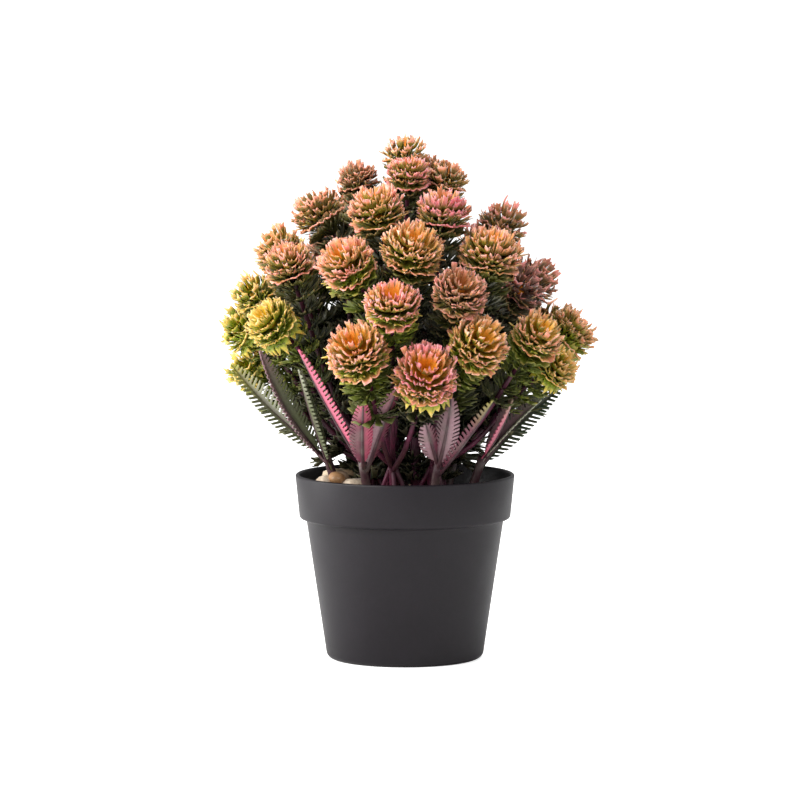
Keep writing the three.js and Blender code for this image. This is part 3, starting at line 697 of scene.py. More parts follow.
class Head:
    """Middle, facing and radius of a packed head, in head order."""

    def __init__(self, name):
        form = bmesh.new()
        form.from_mesh(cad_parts[name].data)
        bmesh.ops.remove_doubles(form, verts=form.verts, dist=1e-6)
        poles = sorted(form.verts, key=lambda vertex: len(vertex.link_edges))[-2:]
        places = [vertex.co.copy() for vertex in poles]
        full = len(form.verts) > FULL_HEAD_POINTS
        form.free()
        hub, throat = sorted(places, key=lambda place: (place - BUSH_MIDDLE).length)
        self.name = name
        self.number = int(name.split("_")[1])
        self.facing = (throat - hub).normalized()
        self.radius = (throat - hub).length / (FULL_HUB_TO_THROAT if full else SMALL_HUB_TO_THROAT)
        self.middle = hub + self.facing * HUB_DEPTH * self.radius
        self.full = full
        self.heading = math.degrees(math.atan2(self.middle.x, -self.middle.y))
        self.hub = hub


heads = [Head(name) for name in sorted(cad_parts) if name.startswith("head_")]
widths = [2 * head.radius / MM for head in heads]
print("Heads:", len(heads), "from", round(min(widths), 1), "to", round(max(widths), 1), "mm across")

# %% [markdown]
# ## Bracts
#
# A head is a stack of moulded cups, one in another. Each cup is cut into many thin bracts,
# and each bract forks into two or three small teeth, which give the head its lacy edge. A
# modelled petal could be copied round with an Array, but then all of them are alike. Here a
# whole cup is one sheet: the angle runs round it, and each column of points is as long as
# its tooth. A bract is narrow at its waist and fans out again, like an antler, so that the
# cup below shows between two of them. Small random numbers bend each one up, out or
# sideways, and one more number gives each bract its own tint.

# %% A whorl of bracts
WAIST_EDGE = 0.96
TOOTH_INSET = 0.68
# The least and the most that chance changes in a cup or in one of its bracts
LIFT = (-0.1, 0.12)
SWELL = (-0.14, 0.04)
LEAN = (-0.2, 0.2)
BEND = (-0.3, 0.34)
OVAL = (0.0, 0.07)
TILT = (-0.13, 0.13)
STRETCH = (0.88, 1.04)
RAGGED = (-0.05, 0.03)
EDGE_CURL = 0.1
EDGE_CURL_LEVEL = 0.4


def smooth(values, low, high):
    """A soft step of values from 0 at low to 1 at high."""
    share = np.clip((values - low) / (high - low), 0, 1)
    return share * share * (3 - 2 * share)


class Cut:
    """How a cup is cut: bracts round it, teeth on each, where the slit between two bracts
    ends, where a bract is narrowest and how narrow, and how deep its notches are."""

    def __init__(self, bracts, teeth, slit, waist, neck, notch):
        self.bracts = bracts
        self.teeth = teeth
        self.slit = slit
        self.waist = waist
        self.neck = neck
        self.notch = notch

    def columns(self):
        """Columns across one bract, from -1 to 1, with the share of the way each reaches."""
        spread = 1 - TOOTH_INSET / self.teeth
        half_pitch = spread / (self.teeth - 1)
        columns = [(-1.0, self.slit), (-WAIST_EDGE, self.waist)]
        for tooth in range(self.teeth):
            peak = 2 * half_pitch * tooth - spread
            if tooth > 0:
                columns.append((peak - half_pitch, 1 - self.notch))
            columns.append((peak, 1 - 0.08 * abs(peak)))
        columns.append((WAIST_EDGE, self.waist))
        return columns

    def pinch(self, share):
        """Width of a bract at a share of its way, against the room that it has."""
        narrow = smooth(share, self.slit, self.waist) * (1 - smooth(share, self.waist, 1.0))
        return 1 - (1 - self.neck) * narrow


class Whorl:
    """A cup of forked bracts round +Z, for a head of radius one."""

    def __init__(self, tip, belly, throat, cut, chance, wild=1.0):
        self.tip = np.array(tip)
        self.belly = np.array(belly)
        self.throat = np.array(throat)
        self.cut = cut
        count = cut.bracts
        self.lifts = np.array([chance.uniform(*LIFT) * wild for _ in range(count)])
        self.swells = np.array([chance.uniform(*SWELL) * wild for _ in range(count)])
        self.leans = np.array([chance.uniform(*LEAN) * wild for _ in range(count)])
        self.bends = np.array([chance.uniform(*BEND) for _ in range(count * cut.teeth)])
        self.tints = np.array([chance.random() for _ in range(count)])
        self.oval = chance.uniform(*OVAL)
        self.tilt = chance.uniform(*TILT) * wild
        self.numbers = []
        self.across = []
        self.lengths = []
        for bract in range(count):
            stretch = chance.uniform(*STRETCH)
            for across, length in cut.columns():
                self.numbers.append(bract)
                self.across.append(across)
                self.lengths.append(length * stretch * (1 + chance.uniform(*RAGGED)))

    def surface(self, turn, share):
        """Points of the cup's middle surface at turns round it and shares of its way."""
        bract = turn * self.cut.bracts
        number = np.floor(bract).astype(int) % self.cut.bracts
        across = 2 * (bract - np.floor(bract)) - 1
        tooth = bract * self.cut.teeth
        which = np.floor(tooth).astype(int) % len(self.bends)
        flat = bezier(self.throat, self.belly, self.tip, share)
        swing = (1 - across**2) * share**2
        bend = self.bends[which] * np.sin(np.pi * tooth) ** 2 * np.clip(share - 0.7, 0, 1)
        angle = 2 * np.pi * turn + self.leans[number] * swing / 2
        reach = flat[..., 0] * (1 + self.swells[number] * swing - self.oval * np.cos(angle) ** 2)
        reach = reach - bend
        height = flat[..., 1] + self.lifts[number] * swing + bend
        height = height + EDGE_CURL * (across**2 - EDGE_CURL_LEVEL) * share**2
        height = height + self.tilt * reach * np.cos(angle)
        return np.stack([reach * np.cos(angle), reach * np.sin(angle), height], axis=-1)

    def sheet(self, rows, thick):
        """Points and faces of the whorl, with masks: how far along its bract each point
        lies, whether it is on the inner face of the cup, and the tint of its bract."""
        share = np.array(rows)[:, None] * np.array(self.lengths)[None, :]
        across = np.array(self.across)[None, :] * self.cut.pinch(share)
        turn = (np.array(self.numbers)[None, :] + (across + 1) / 2) / self.cut.bracts
        body = thick * (0.65 + 0.5 * share)
        points, faces = thick_sheet(self.surface, turn, share, body, True)
        tints = np.broadcast_to(self.tints[self.numbers], share.shape)
        masks = {
            "along": both_sides(share),
            "inside": np.repeat([0.0, 1.0], share.size),
            "tint": both_sides(tints),
        }
        return points, faces, masks


# %% [markdown]
# ## Head looks
#
# The bush was sprayed by hand. Most heads fade from a green back through ochre cups to
# salmon teeth, some on the left stay yellow-green, a few are pink and some are dusky mauve.
# Three numbers hold that: how green, how pink and how dusky a head is. Heads that are not
# named get a mild random mix.

# %% Looks of single heads
LOOKS = {
    1: (0.2, 0.45, 0.0),
    2: (0.1, 0.9, 0.1),
    3: (0.15, 0.3, 0.25),
    4: (0.1, 0.5, 0.3),
    5: (0.1, 0.3, 0.45),
    6: (0.15, 0.55, 0.0),
    7: (0.15, 0.95, 0.1),
    8: (0.0, 0.2, 0.2),
    9: (0.1, 0.6, 0.3),
    11: (0.0, 0.2, 0.4),
    12: (0.25, 0.45, 0.0),
    13: (0.15, 0.6, 0.0),
    14: (0.2, 0.6, 0.1),
    15: (0.1, 0.0, 0.0),
    16: (0.2, 0.5, 0.05),
    17: (0.1, 0.7, 0.3),
    19: (0.0, 0.3, 0.6),
    20: (0.5, 0.0, 0.0),
    21: (0.1, 0.5, 0.45),
    22: (0.1, 0.8, 0.0),
    23: (0.0, 0.5, 0.75),
    24: (0.0, 0.3, 0.5),
    27: (0.7, 0.1, 0.0),
    28: (0.6, 0.1, 0.0),
    29: (0.85, 0.15, 0.0),
    30: (0.15, 0.5, 0.0),
    31: (0.35, 0.45, 0.0),
    32: (0.5, 0.55, 0.0),
    33: (0.35, 0.4, 0.1),
    34: (0.3, 0.3, 0.3),
    38: (0.8, 0.1, 0.0),
    39: (1.0, 0.1, 0.0),
    40: (0.1, 0.9, 0.0),
    41: (0.7, 0.3, 0.0),
    44: (1.0, 0.1, 0.0),
}


def look_of(head):
    """How green, pink and dusky a head is."""
    chance = random.Random(head.number)
    mild = (chance.uniform(0.05, 0.6), chance.uniform(0.1, 0.6), chance.uniform(0.0, 0.35))
    return LOOKS.get(head.number, mild)


# %% Head finish
def make_head_plastic():
    """Green under the cups, ochre in them, and salmon, pink or dull teeth."""
    material, tree, shader = plastic("Head plastic", 0.48, 0.2, 1800.0, 0.00006)
    along = read_mask(tree, "along")
    tier = read_mask(tree, "tier")
    inside = read_mask(tree, "inside")
    green = read_mask(tree, "green")
    pink = read_mask(tree, "pink")
    dusk = read_mask(tree, "dusk")
    tint = read_mask(tree, "tint")
    leafy = add_mix(tree, green, screen(124, 116, 42), screen(124, 142, 28))
    ochre = add_mix(tree, green, screen(220, 134, 30), screen(204, 172, 36))
    tan = add_mix(tree, green, screen(230, 152, 104), screen(214, 184, 76))
    under = add_mix(tree, add_ramp(tree, along, 0.7, 0.92), leafy, tan)
    cup = add_mix(tree, add_ramp(tree, tier, 0.4, 0.95), leafy, ochre)
    lining = add_mix(tree, add_ramp(tree, along, 0.55, 0.9), cup, tan)
    wall = add_mix(tree, inside, under, lining)
    blush = add_mix(tree, pink, screen(253, 174, 146), screen(253, 154, 170))
    fresh = add_mix(tree, add_maths(tree, "MULTIPLY", green, 0.8), blush, screen(240, 208, 110))
    place = add_maths(tree, "ADD", along, add_line(tree, tint, 0.16, -0.08))
    rim = add_ramp(tree, place, 0.8, 0.94)
    tips = add_mix(tree, rim, wall, fresh)
    spray = add_mix(tree, pink, screen(222, 140, 98), screen(236, 130, 146))
    amount = add_maths(tree, "MULTIPLY", pink, add_ramp(tree, along, 0.45, 0.85))
    sprayed = place_group(tree, OVERSPRAY, Color=tips, Spray=spray, Amount=amount, Scale=110.0)
    dusty = add_maths(tree, "MULTIPLY", dusk, add_line(tree, rim, -0.45, 1.0))
    dull = add_mix(tree, dusty, sprayed.outputs["Color"], screen(116, 78, 84))
    shade = tree.nodes.new("ShaderNodeHueSaturation")
    tree.links.new(add_line(tree, tint, 0.36, 0.82), shade.inputs["Value"])
    tree.links.new(dull, shade.inputs["Color"])
    tree.links.new(shade.outputs["Color"], shader.inputs["Base Color"])
    soften(shader, 0.5)
    shader.inputs["Specular IOR Level"].default_value = 0.4
    return material


HEAD_PLASTIC = make_head_plastic()
print("Head finish ready for", len(LOOKS), "named looks")

# %% [markdown]
# ## Heads
#
# The teeth of all the cups lie on one squashed ball, the lowest cup wide and flat and the
# topmost a narrow hollow. Stepping an angle up that ball places each cup, and a wider cup
# has more bracts, so that all the teeth are about as wide. Under the ball a whorl of long
# antler arms and a thin saucer stand free, a few heads have a lobed skirt that hangs under
# them, and a small hub joins them all to the stem. The heads that are seen from the side
# are looser, with fewer and broader fans.

# %% Build the heads
BALL_SQUASH = 0.62
LOW_ANGLE = -14
HIGH_ANGLE = 68
TOOTH_WIDTH = 1.6 * MM
BRACT_WIDTH = 2 * TOOTH_WIDTH
FAN_WIDTH = 3.3 * TOOTH_WIDTH
BRACT_THICK = 0.45 * MM
ARMS_CUT = Cut(13, 2, 0.26, 0.6, 0.32, 0.34)
SAUCER_CUT = Cut(18, 2, 0.78, 0.86, 0.85, 0.07)
SKIRT_CUT = Cut(7, 3, 0.5, 0.7, 0.9, 0.3)
FREE_ROWS = (0.0, 0.4, 0.72, 1.0)
CUP_ROWS = (0.0, 0.62, 1.0)
THROAT_LOW = (0.16, -0.5)
THROAT_RISE = (-0.1, 0.4)
BELLY_OUT = 0.88
BELLY_UP = 0.16
LOW_TIER = 0.2
ARMS_TIER = 0.1
ARMS_FRESH = 0.9
ARMS_FRESH_LEAST = 0.35
FREE_WILD = 2.0
CUP_WILD = 1.5
HEAD_SEED = 400
FULL_CUPS = 6
SMALL_CUPS = 5
LOOSE_CUPS = 4
HUB_SIDES = 10
HUB_PROFILE = [(0, -0.7), (0.12, -0.62), (0.2, -0.4), (0.16, -0.14), (0.06, -0.02), (0, 0)]
HEAD_MASKS = ("along", "tier", "inside", "tint", "green", "pink", "dusk")
SKIRTED = {29, 39, 40, 41, 44}
LOOSE = {1, 3, 9, 15, 23, 24, 27, 34, 38, 39, 44}
FRESH_ARMS = {13, 20, 22, 27, 28, 29, 30, 31, 32, 33, 38, 39, 41, 44}


def cup_cut(reach, loose):
    """The cut of a cup whose teeth lie at a distance from the head's axis."""
    room = 2 * math.pi * reach
    if loose:
        return Cut(max(5, round(room / FAN_WIDTH)), 3, 0.24, 0.58, 0.34, 0.12)
    return Cut(max(7, round(room / BRACT_WIDTH)), 2, 0.56, 0.78, 0.62, 0.11)


def head_whorls(head, chance):
    """The cups of a head, each with its place from the lowest, 0, to the topmost, 1, its
    rows and how fresh a green it has at least."""
    loose = head.number in LOOSE
    cups = FULL_CUPS if head.full else SMALL_CUPS
    if loose:
        cups = LOOSE_CUPS
    fresh = ARMS_FRESH if head.number in FRESH_ARMS else ARMS_FRESH_LEAST
    arms = Whorl((1.14, -0.3), (0.8, -0.58), (0.1, -0.6), ARMS_CUT, chance, FREE_WILD)
    saucer = Whorl((1.04, -0.56), (0.7, -0.72), (0.1, -0.66), SAUCER_CUT, chance)
    whorls = [(arms, ARMS_TIER, FREE_ROWS, fresh), (saucer, 0.0, FREE_ROWS, 0.0)]
    if head.number in SKIRTED:
        skirt = Whorl((0.95, -1.2), (0.95, -0.6), (0.1, -0.66), SKIRT_CUT, chance)
        whorls.append((skirt, 0.0, FREE_ROWS, 1.0))
    for cup in range(cups):
        share = cup / (cups - 1)
        angle = math.radians(LOW_ANGLE + (HIGH_ANGLE - LOW_ANGLE) * share)
        tip = (math.cos(angle), BALL_SQUASH * math.sin(angle))
        throat = (THROAT_LOW[0] + THROAT_RISE[0] * share, THROAT_LOW[1] + THROAT_RISE[1] * share)
        belly = (tip[0] * BELLY_OUT, throat[1] + BELLY_UP * (tip[1] - throat[1]))
        cut = cup_cut(tip[0] * head.radius, loose)
        whorl = Whorl(tip, belly, throat, cut, chance, FREE_WILD if loose else CUP_WILD)
        tier = LOW_TIER + (1 - LOW_TIER) * share
        whorls.append((whorl, tier, FREE_ROWS if loose else CUP_ROWS, 0.0))
    return whorls


def add_head(clay, head):
    """Adds a head's cups and hub to the clay, turned and moved to its place."""
    chance = random.Random(HEAD_SEED + head.number)
    green, pink, dusk = look_of(head)
    turn = np.array(head.facing.to_track_quat("Z", "Y").to_matrix())
    middle = np.array(head.middle)
    for whorl, tier, rows, lush in head_whorls(head, chance):
        points, faces, masks = whorl.sheet(rows, BRACT_THICK / head.radius)
        spin = np.array(Matrix.Rotation(chance.uniform(0, 2 * math.pi), 3, "Z"))
        placed = (points @ spin.T) @ turn.T * head.radius + middle
        look = {"green": max(green, lush), "pink": pink * (1 - lush), "dusk": dusk * (1 - lush)}
        clay.add(placed, faces, tier=tier, **masks, **look)
    hub = Clay()
    turned(hub, HUB_PROFILE, HUB_SIDES)
    placed = np.array(hub.points) @ turn.T * head.radius + middle
    clay.add(placed, hub.faces, along=0.5, tier=0.9, inside=1.0, tint=0.5, green=green)


head_triangles = 0
for head in heads:
    head_clay = Clay(*HEAD_MASKS)
    add_head(head_clay, head)
    make_piece(f"bloom_{head.number:02d}", head_clay, HEAD_PLASTIC, [head.name])
    head_triangles += head_clay.triangles()
print("Heads:", head_triangles, "triangles")

# %% [markdown]
# ## Branches
#
# Each head has a branch that leaves the trunk of the nearest spray, the lowest head lowest
# down. It swings out with a slight sag and comes up under the head along the head's own
# axis. A smooth curve through four points gives that, and a tapering tube follows it.

# %% Branch paths
BRANCH_RADIUS = 1.2 * MM
BRANCH_TIP_RADIUS = 0.8 * MM
TRUNK_RADIUS = 2.3 * MM
BRANCH_FIRST_HEIGHT = 78 * MM
LEADER_FIRST_HEIGHT = LEADER_FORK_HEIGHT - 10 * MM
NECK = 14 * MM
SAG = 0.08
TOUCH_GAP = 0.3 * MM


def smooth_path(corners, steps):
    """Points of a Catmull-Rom curve through corners."""
    padded = [2 * corners[0] - corners[1], *corners, 2 * corners[-1] - corners[-2]]
    path = []
    for before, start, end, after in zip(padded, padded[1:], padded[2:], padded[3:]):
        for step in range(steps):
            t = step / steps
            path.append(
                start
                + 0.5 * t * (end - before)
                + t * t * (before - 2.5 * start + 2 * end - 0.5 * after)
                + t**3 * (1.5 * (start - end) + 0.5 * (after - before))
            )
    path.append(corners[-1])
    return np.array(path)


def branch_path(fork, head):
    """The way of a branch from its fork to the hub of its head."""
    facing = np.array(head.facing)
    tip = np.array(head.hub) - facing * TOUCH_GAP
    neck = tip - facing * NECK
    shoulder = (fork + neck) / 2
    shoulder[2] -= np.linalg.norm(neck - fork) * SAG
    return smooth_path([fork, shoulder, neck, tip], 6)


def heads_by_spray():
    """The heads that each spray carries, lowest first; the leader, last, has the top ones."""
    owned = [[] for _ in spray_feet]
    for head in heads:
        turns = (head.heading - SPRAY_FIRST_HEADING + 720) / (360 / SPRAY_COUNT)
        number = SPRAY_COUNT if head.middle.z >= LEADER_FROM_HEIGHT else round(turns) % SPRAY_COUNT
        owned[number].append(head)
    return [sorted(some, key=lambda head: head.middle.z) for some in owned]


# %% [markdown]
# ## Needle whorls
#
# Below each head the branch goes on carrying the same lacy whorls, further apart and dark
# green, with whorls of forked needles between them. Just under the head they are fresh and
# still have the head's tan teeth. They close the gaps between the heads, so there are many
# of them and each is plain: a leafy whorl is a deeply cut cup, and a needle is a flat spike
# with a fork of two more.

# %% Needles
NEEDLES = 9
NEEDLE_OFF_AXIS = (0.2, 0.4, 0.9)
NEEDLE_WIDTH = 0.7 * MM
NEEDLE_THICK = 0.3 * MM
NEEDLE_STRAY = (-0.15, 0.15)
NEEDLE_LENGTHS = (0.75, 1.05)
NEEDLE_LIFTS = (0.25, 0.6)
NEEDLE_CURL = 0.35
SPIKE_WAIST = 0.55
SPIKE_ROOT_WIDTH = 0.6
SPIKE_WAIST_ALONG = 0.6
TINE_LIFT = 0.3
FORK_PLACE = 0.45
TINE_LENGTH = 0.42
TINE_SPREAD = 0.45
TINE_WIDTH = 0.5 * MM
TINE_THICK = 0.25 * MM
NEEDLES_BELOW = [2, 4, 7, 12, 18, 25, 32, 40, 49, 59, 70]
LEAFY_BELOW = [3, 9, 16, 29, 44, 62]
LEAFY_ROWS = (0.0, 0.5, 1.0)
LEAFY_THICK = 0.5 * MM
LEAFY_CUT = Cut(13, 2, 0.26, 0.6, 0.42, 0.24)
RIM_CUT = Cut(17, 2, 0.72, 0.84, 0.8, 0.09)
RIM_BELOW = 6
CLEAR_HEIGHT = 102 * MM
BACK_SPREAD = 1.6
BACK_SPREAD_BELOW = 12
ARM_BELOW = 8
ARM_SPREAD = 1.3


def spike(clay, start, end, side, width, thick, **masks):
    """Adds a flat pointed blade from start to end, width across along side."""
    way = unit(end - start)
    side = unit(side - way * np.dot(side, way))
    face = np.cross(way, side)
    waist = start + (end - start) * SPIKE_WAIST
    points = []
    for place, share in ((start, SPIKE_ROOT_WIDTH), (waist, 1.0)):
        points.append(place + side * width * share)
        points.append(place + face * thick * share)
        points.append(place - side * width * share)
        points.append(place - face * thick * share)
    points.append(end)
    along = [0.0] * 4 + [SPIKE_WAIST_ALONG] * 4 + [1.0]
    faces = [(3, 2, 1, 0)]
    for corner in range(4):
        following = (corner + 1) % 4
        faces.append((corner, following, 4 + following, 4 + corner))
        faces.append((4 + corner, 4 + following, 8))
    clay.add(np.array(points), faces, along=along, **masks)


def add_needles(clay, place, way, reach, chance, **masks):
    """Adds a whorl of forked needles round a point of a branch."""
    side = unit(np.cross(way, NEEDLE_OFF_AXIS))
    face = np.cross(way, side)
    spin = chance.uniform(0, math.pi)
    for needle in range(NEEDLES):
        angle = spin + 2 * math.pi * needle / NEEDLES + chance.uniform(*NEEDLE_STRAY)
        out = math.cos(angle) * side + math.sin(angle) * face
        across = np.cross(way, out)
        length = reach * chance.uniform(*NEEDLE_LENGTHS)
        lift = chance.uniform(*NEEDLE_LIFTS)
        heading = unit(out + way * lift)
        fork = place + heading * length * FORK_PLACE
        tip = place + unit(out + way * (lift + NEEDLE_CURL)) * length
        spike(clay, place, tip, across, NEEDLE_WIDTH, NEEDLE_THICK, **masks)
        for turn in (-1, 1):
            out_of_fork = unit(heading + across * TINE_SPREAD * turn + way * TINE_LIFT)
            tine = fork + out_of_fork * length * TINE_LENGTH
            spike(clay, fork, tine, across, TINE_WIDTH, TINE_THICK, **masks)


def add_cup(clay, place, way, reach, cut, chance, **masks):
    """Adds a cup of a cut round a point of a branch."""
    whorl = Whorl((1.0, 0.3), (0.7, -0.06), (0.06, -0.06), cut, chance, 1.6)
    points, faces, own = whorl.sheet(LEAFY_ROWS, LEAFY_THICK / reach)
    turn = np.array(Vector(way).to_track_quat("Z", "Y").to_matrix())
    clay.add(points @ turn.T * reach + place, faces, **own, **masks)


def add_leafy_whorl(clay, place, way, reach, chance, **masks):
    """Adds a deeply cut green cup round a point of a branch."""
    add_cup(clay, place, way, reach, LEAFY_CUT, chance, **masks)


def add_rim_whorl(clay, place, way, reach, chance, **masks):
    """Adds a green cup with a finely cut rim round a point of a branch."""
    add_cup(clay, place, way, reach, RIM_CUT, chance, **masks)


# %% Stem and needle finishes
def make_stem_plastic():
    material, tree, shader = plastic("Stem plastic", 0.48, 0.2, 1200.0, 0.0001)
    paint(tree, shader, screen(64, 24, 40), screen(104, 34, 66), 0.8, 120.0)
    return material


def make_needle_plastic():
    """Dark green, fresher near a head, where the teeth also take the head's own colour."""
    material, tree, shader = plastic("Needle plastic", 0.5, 0.2, 1500.0, 0.00008)
    fresh = read_mask(tree, "fresh")
    green = read_mask(tree, "green")
    along = read_mask(tree, "along")
    dark = add_mix(tree, add_ramp(tree, along, 0.5, 1.0), screen(46, 54, 28), screen(100, 98, 66))
    lively = add_mix(tree, green, screen(92, 88, 34), screen(146, 164, 26))
    base = add_mix(tree, fresh, dark, lively)
    teeth = add_mix(tree, green, screen(214, 140, 92), screen(190, 172, 60))
    share = add_maths(tree, "MULTIPLY", add_ramp(tree, along, 0.78, 1.0), fresh)
    tipped = add_mix(tree, share, base, teeth)
    paint(tree, shader, tipped, screen(72, 56, 58), 0.35, 70.0)
    return material


STEM_PLASTIC = make_stem_plastic()
NEEDLE_PLASTIC = make_needle_plastic()

# %% [markdown]
# ## Sprays
#
# A spray is a short knotted trunk with its branches. Round each of the five outer trunks a
# thin stem also runs down from every branch, so that a loose bundle stands over the pebbles,
# and dark whorls fill the inside and the back. Each whorl could be placed by hand, but their
# places follow from the branch: so far below its head, and none low down in front, where the
# stems and the leaves are seen.

# %% Trunks and bundles
TRUNK_WHORLS = [74, 80, 92, 98, 104, 112, 120, 128, 136, 144]
TRUNK_REACH = 13 * MM
TRUNK_TAPER = 0.25
KNOT_RISE = 0.06
KNOT_TURNS = 40
SPRAY_SEED = 70
BUNDLE_RADIUS = 0.9 * MM
BUNDLE_SPREAD = 6 * MM
STEM_SIDES = 8
TRUNK_SIDES = 12


def add_bundled_stem(clay, low, start, number):
    """Adds the lower part of a branch, which runs down beside its trunk into the filler."""
    angle = math.radians(number * GOLDEN_ANGLE)
    aside = np.array((math.cos(angle), math.sin(angle), 0.0)) * BUNDLE_SPREAD
    path = smooth_path([low + aside, (low + start) / 2 + aside, start], 5)
    tube(clay, path, np.full(len(path), BUNDLE_RADIUS), STEM_SIDES)


def add_trunk_whorls(clay, low, top, chance):
    """Adds dark whorls that hide the inner and the back stems."""
    for height in TRUNK_WHORLS:
        share = (height * MM - low[2]) / (top[2] - low[2])
        point = low + (top - low) * share
        if share > 1 or (point[1] < 0 and point[2] < CLEAR_HEIGHT):
            continue
        add_leafy_whorl(clay, point, unit(top - low), TRUNK_REACH, chance, fresh=0.0, green=0.1)
        add_needles(clay, point, unit(top - low), TRUNK_REACH, chance, fresh=0.0, green=0.1)


def add_trunk(clay, low, fork, top):
    """Adds a trunk from its foot to its fork and, for the leader, on to its top."""
    corners = [low, (low + fork) / 2, fork]
    if top is not None:
        corners.append((fork + top) / 2)
        corners.append(top)
    path = smooth_path(corners, 5)
    share = np.linspace(0, 1, len(path))
    knots = 1 + KNOT_RISE * np.sin(share * KNOT_TURNS)
    tube(clay, path, TRUNK_RADIUS * (1 - TRUNK_TAPER * share) * knots, TRUNK_SIDES)


# %% Whorls along a branch
BARE_SHARE = 0.15
REACH_LOSS = 0.002
FRESH_LOSS = 0.05
LIVELY_FRESH_LOSS = 0.025
LIVELY_GREEN = 0.8


def whorls_below_a_head():
    """What adds each whorl below a head, and how many millimetres below it, nearest first."""
    marks = [(below, add_needles) for below in NEEDLES_BELOW]
    for below in LEAFY_BELOW:
        marks.append((below, add_rim_whorl if below < RIM_BELOW else add_leafy_whorl))
    return sorted(marks, key=lambda mark: mark[0])


def add_branch_whorls(clay, path, head, chance):
    """Adds needles and leafy whorls along a branch, from its head down."""
    lengths = np.cumsum(np.r_[0, np.linalg.norm(np.diff(path, axis=0), axis=1)])
    lively = head.number in FRESH_ARMS
    green = max(look_of(head)[0], LIVELY_GREEN) if lively else look_of(head)[0]
    loss = LIVELY_FRESH_LOSS if lively else FRESH_LOSS
    for below, add_whorl in whorls_below_a_head():
        away = lengths[-1] - below * MM
        if away < BARE_SHARE * lengths[-1]:
            continue
        near = [away - 1 * MM, away, away + 1 * MM]
        places = np.array([np.interp(near, lengths, path[:, axis]) for axis in range(3)]).T
        behind, point, ahead = places
        if point[2] < CLEAR_HEIGHT and point[1] < 0:
            continue
        reach = head.radius * (1.0 - REACH_LOSS * below)
        if point[1] > 0 and below > BACK_SPREAD_BELOW:
            reach *= BACK_SPREAD
        if add_whorl is add_needles and below < ARM_BELOW:
            reach *= ARM_SPREAD
        fresh = max(0.0, 1.0 - loss * below) * chance.uniform(0.6, 1.0)
        add_whorl(clay, point, unit(ahead - behind), reach, chance, fresh=fresh, green=green)


# %% Build the sprays
spray_triangles = 0
for number, owned in enumerate(heads_by_spray()):
    low, fork = spray_feet[number]
    leads = number == SPRAY_COUNT
    top = np.array((0.0, 0.0, LEADER_FORK_HEIGHT)) if leads else fork
    first = LEADER_FIRST_HEIGHT if leads else BRANCH_FIRST_HEIGHT
    stem_clay = Clay()
    needle_clay = Clay("fresh", "green", "along")
    chance = random.Random(SPRAY_SEED + number)
    add_trunk(stem_clay, low, fork, top if leads else None)
    add_trunk_whorls(needle_clay, low, top, chance)
    for place, head in enumerate(owned):
        height = first + (top[2] - 1 * MM - first) * (place + 0.5) / len(owned)
        start = low + (top - low) * (height - low[2]) / (top[2] - low[2])
        path = branch_path(start, head)
        tube(stem_clay, path, np.linspace(BRANCH_RADIUS, BRANCH_TIP_RADIUS, len(path)), STEM_SIDES)
        if not leads:
            add_bundled_stem(stem_clay, low, start, place)
        add_branch_whorls(needle_clay, path, head, chance)
    spray = f"spray_{number + 1}"
    make_piece(f"stems_{number + 1}", stem_clay, STEM_PLASTIC, [spray])
    make_piece(f"needles_{number + 1}", needle_clay, NEEDLE_PLASTIC)
    spray_triangles += needle_clay.triangles() + stem_clay.triangles()
print("Sprays:", spray_triangles, "triangles")

# %% [markdown]
# ## Comb leaves
#
# The long leaves are folded along a dark rib and cut into a comb along both edges. Each is a
# thick sheet again: one number runs across it, from edge to edge, and the other along it.
# The columns near an edge reach out along a tooth and draw in at a slit. Some leaves are cut
# nearly to the rib, like a fern, and others only at the rim. The tips are those of the
# packed leaves.

# %% Leaf values
LEAF_THICK = 0.7 * MM
LEAF_STALK = 0.14
STALK_HALF = 1.1 * MM
LEAF_FOLD = math.radians(32)
TOOTH_PITCH = 2.1 * MM
TOOTH_LEAN = 0.5
TOOTH_ROWS = ((0.0, 0.0), (0.05, 0.93), (0.3, 1.0), (0.56, 0.95), (0.63, 0.0))
ACROSS = np.array([-1.0, -0.85, -0.6, -0.3, -0.08, 0.08, 0.3, 0.6, 0.85, 1.0])
RIM = 0.3
RIM_END = 0.35
TEETH_END = 0.97
SLIT_WIDTH = 0.03
EDGE_DROOP = 14
BOW_SAG = 0.6
RIB_BAND = 0.2
RIB_STEPS = 14
RIB_RADII = (0.95 * MM, 0.35 * MM)
RIB_SIDES = 6
STALK_RADII = (2.0 * MM, 1.7 * MM)
STALK_SIDES = 10
FIRST_LEAF_DROP = 0.04
NEXT_LEAF_DROP = 0.08
TIP_DYE_FROM = 0.62
TIP_DYE_SPAN = 0.38
TIP_DYE_FADE = 1.4
SAGE = screen(168, 170, 148)
MAUVE = screen(154, 120, 128)
ROSE = screen(204, 98, 124)
PLUM = screen(112, 56, 72)
MOSS = screen(108, 114, 82)
LIME = screen(176, 170, 74)
PINE = screen(52, 68, 44)
BEIGE = screen(200, 166, 142)

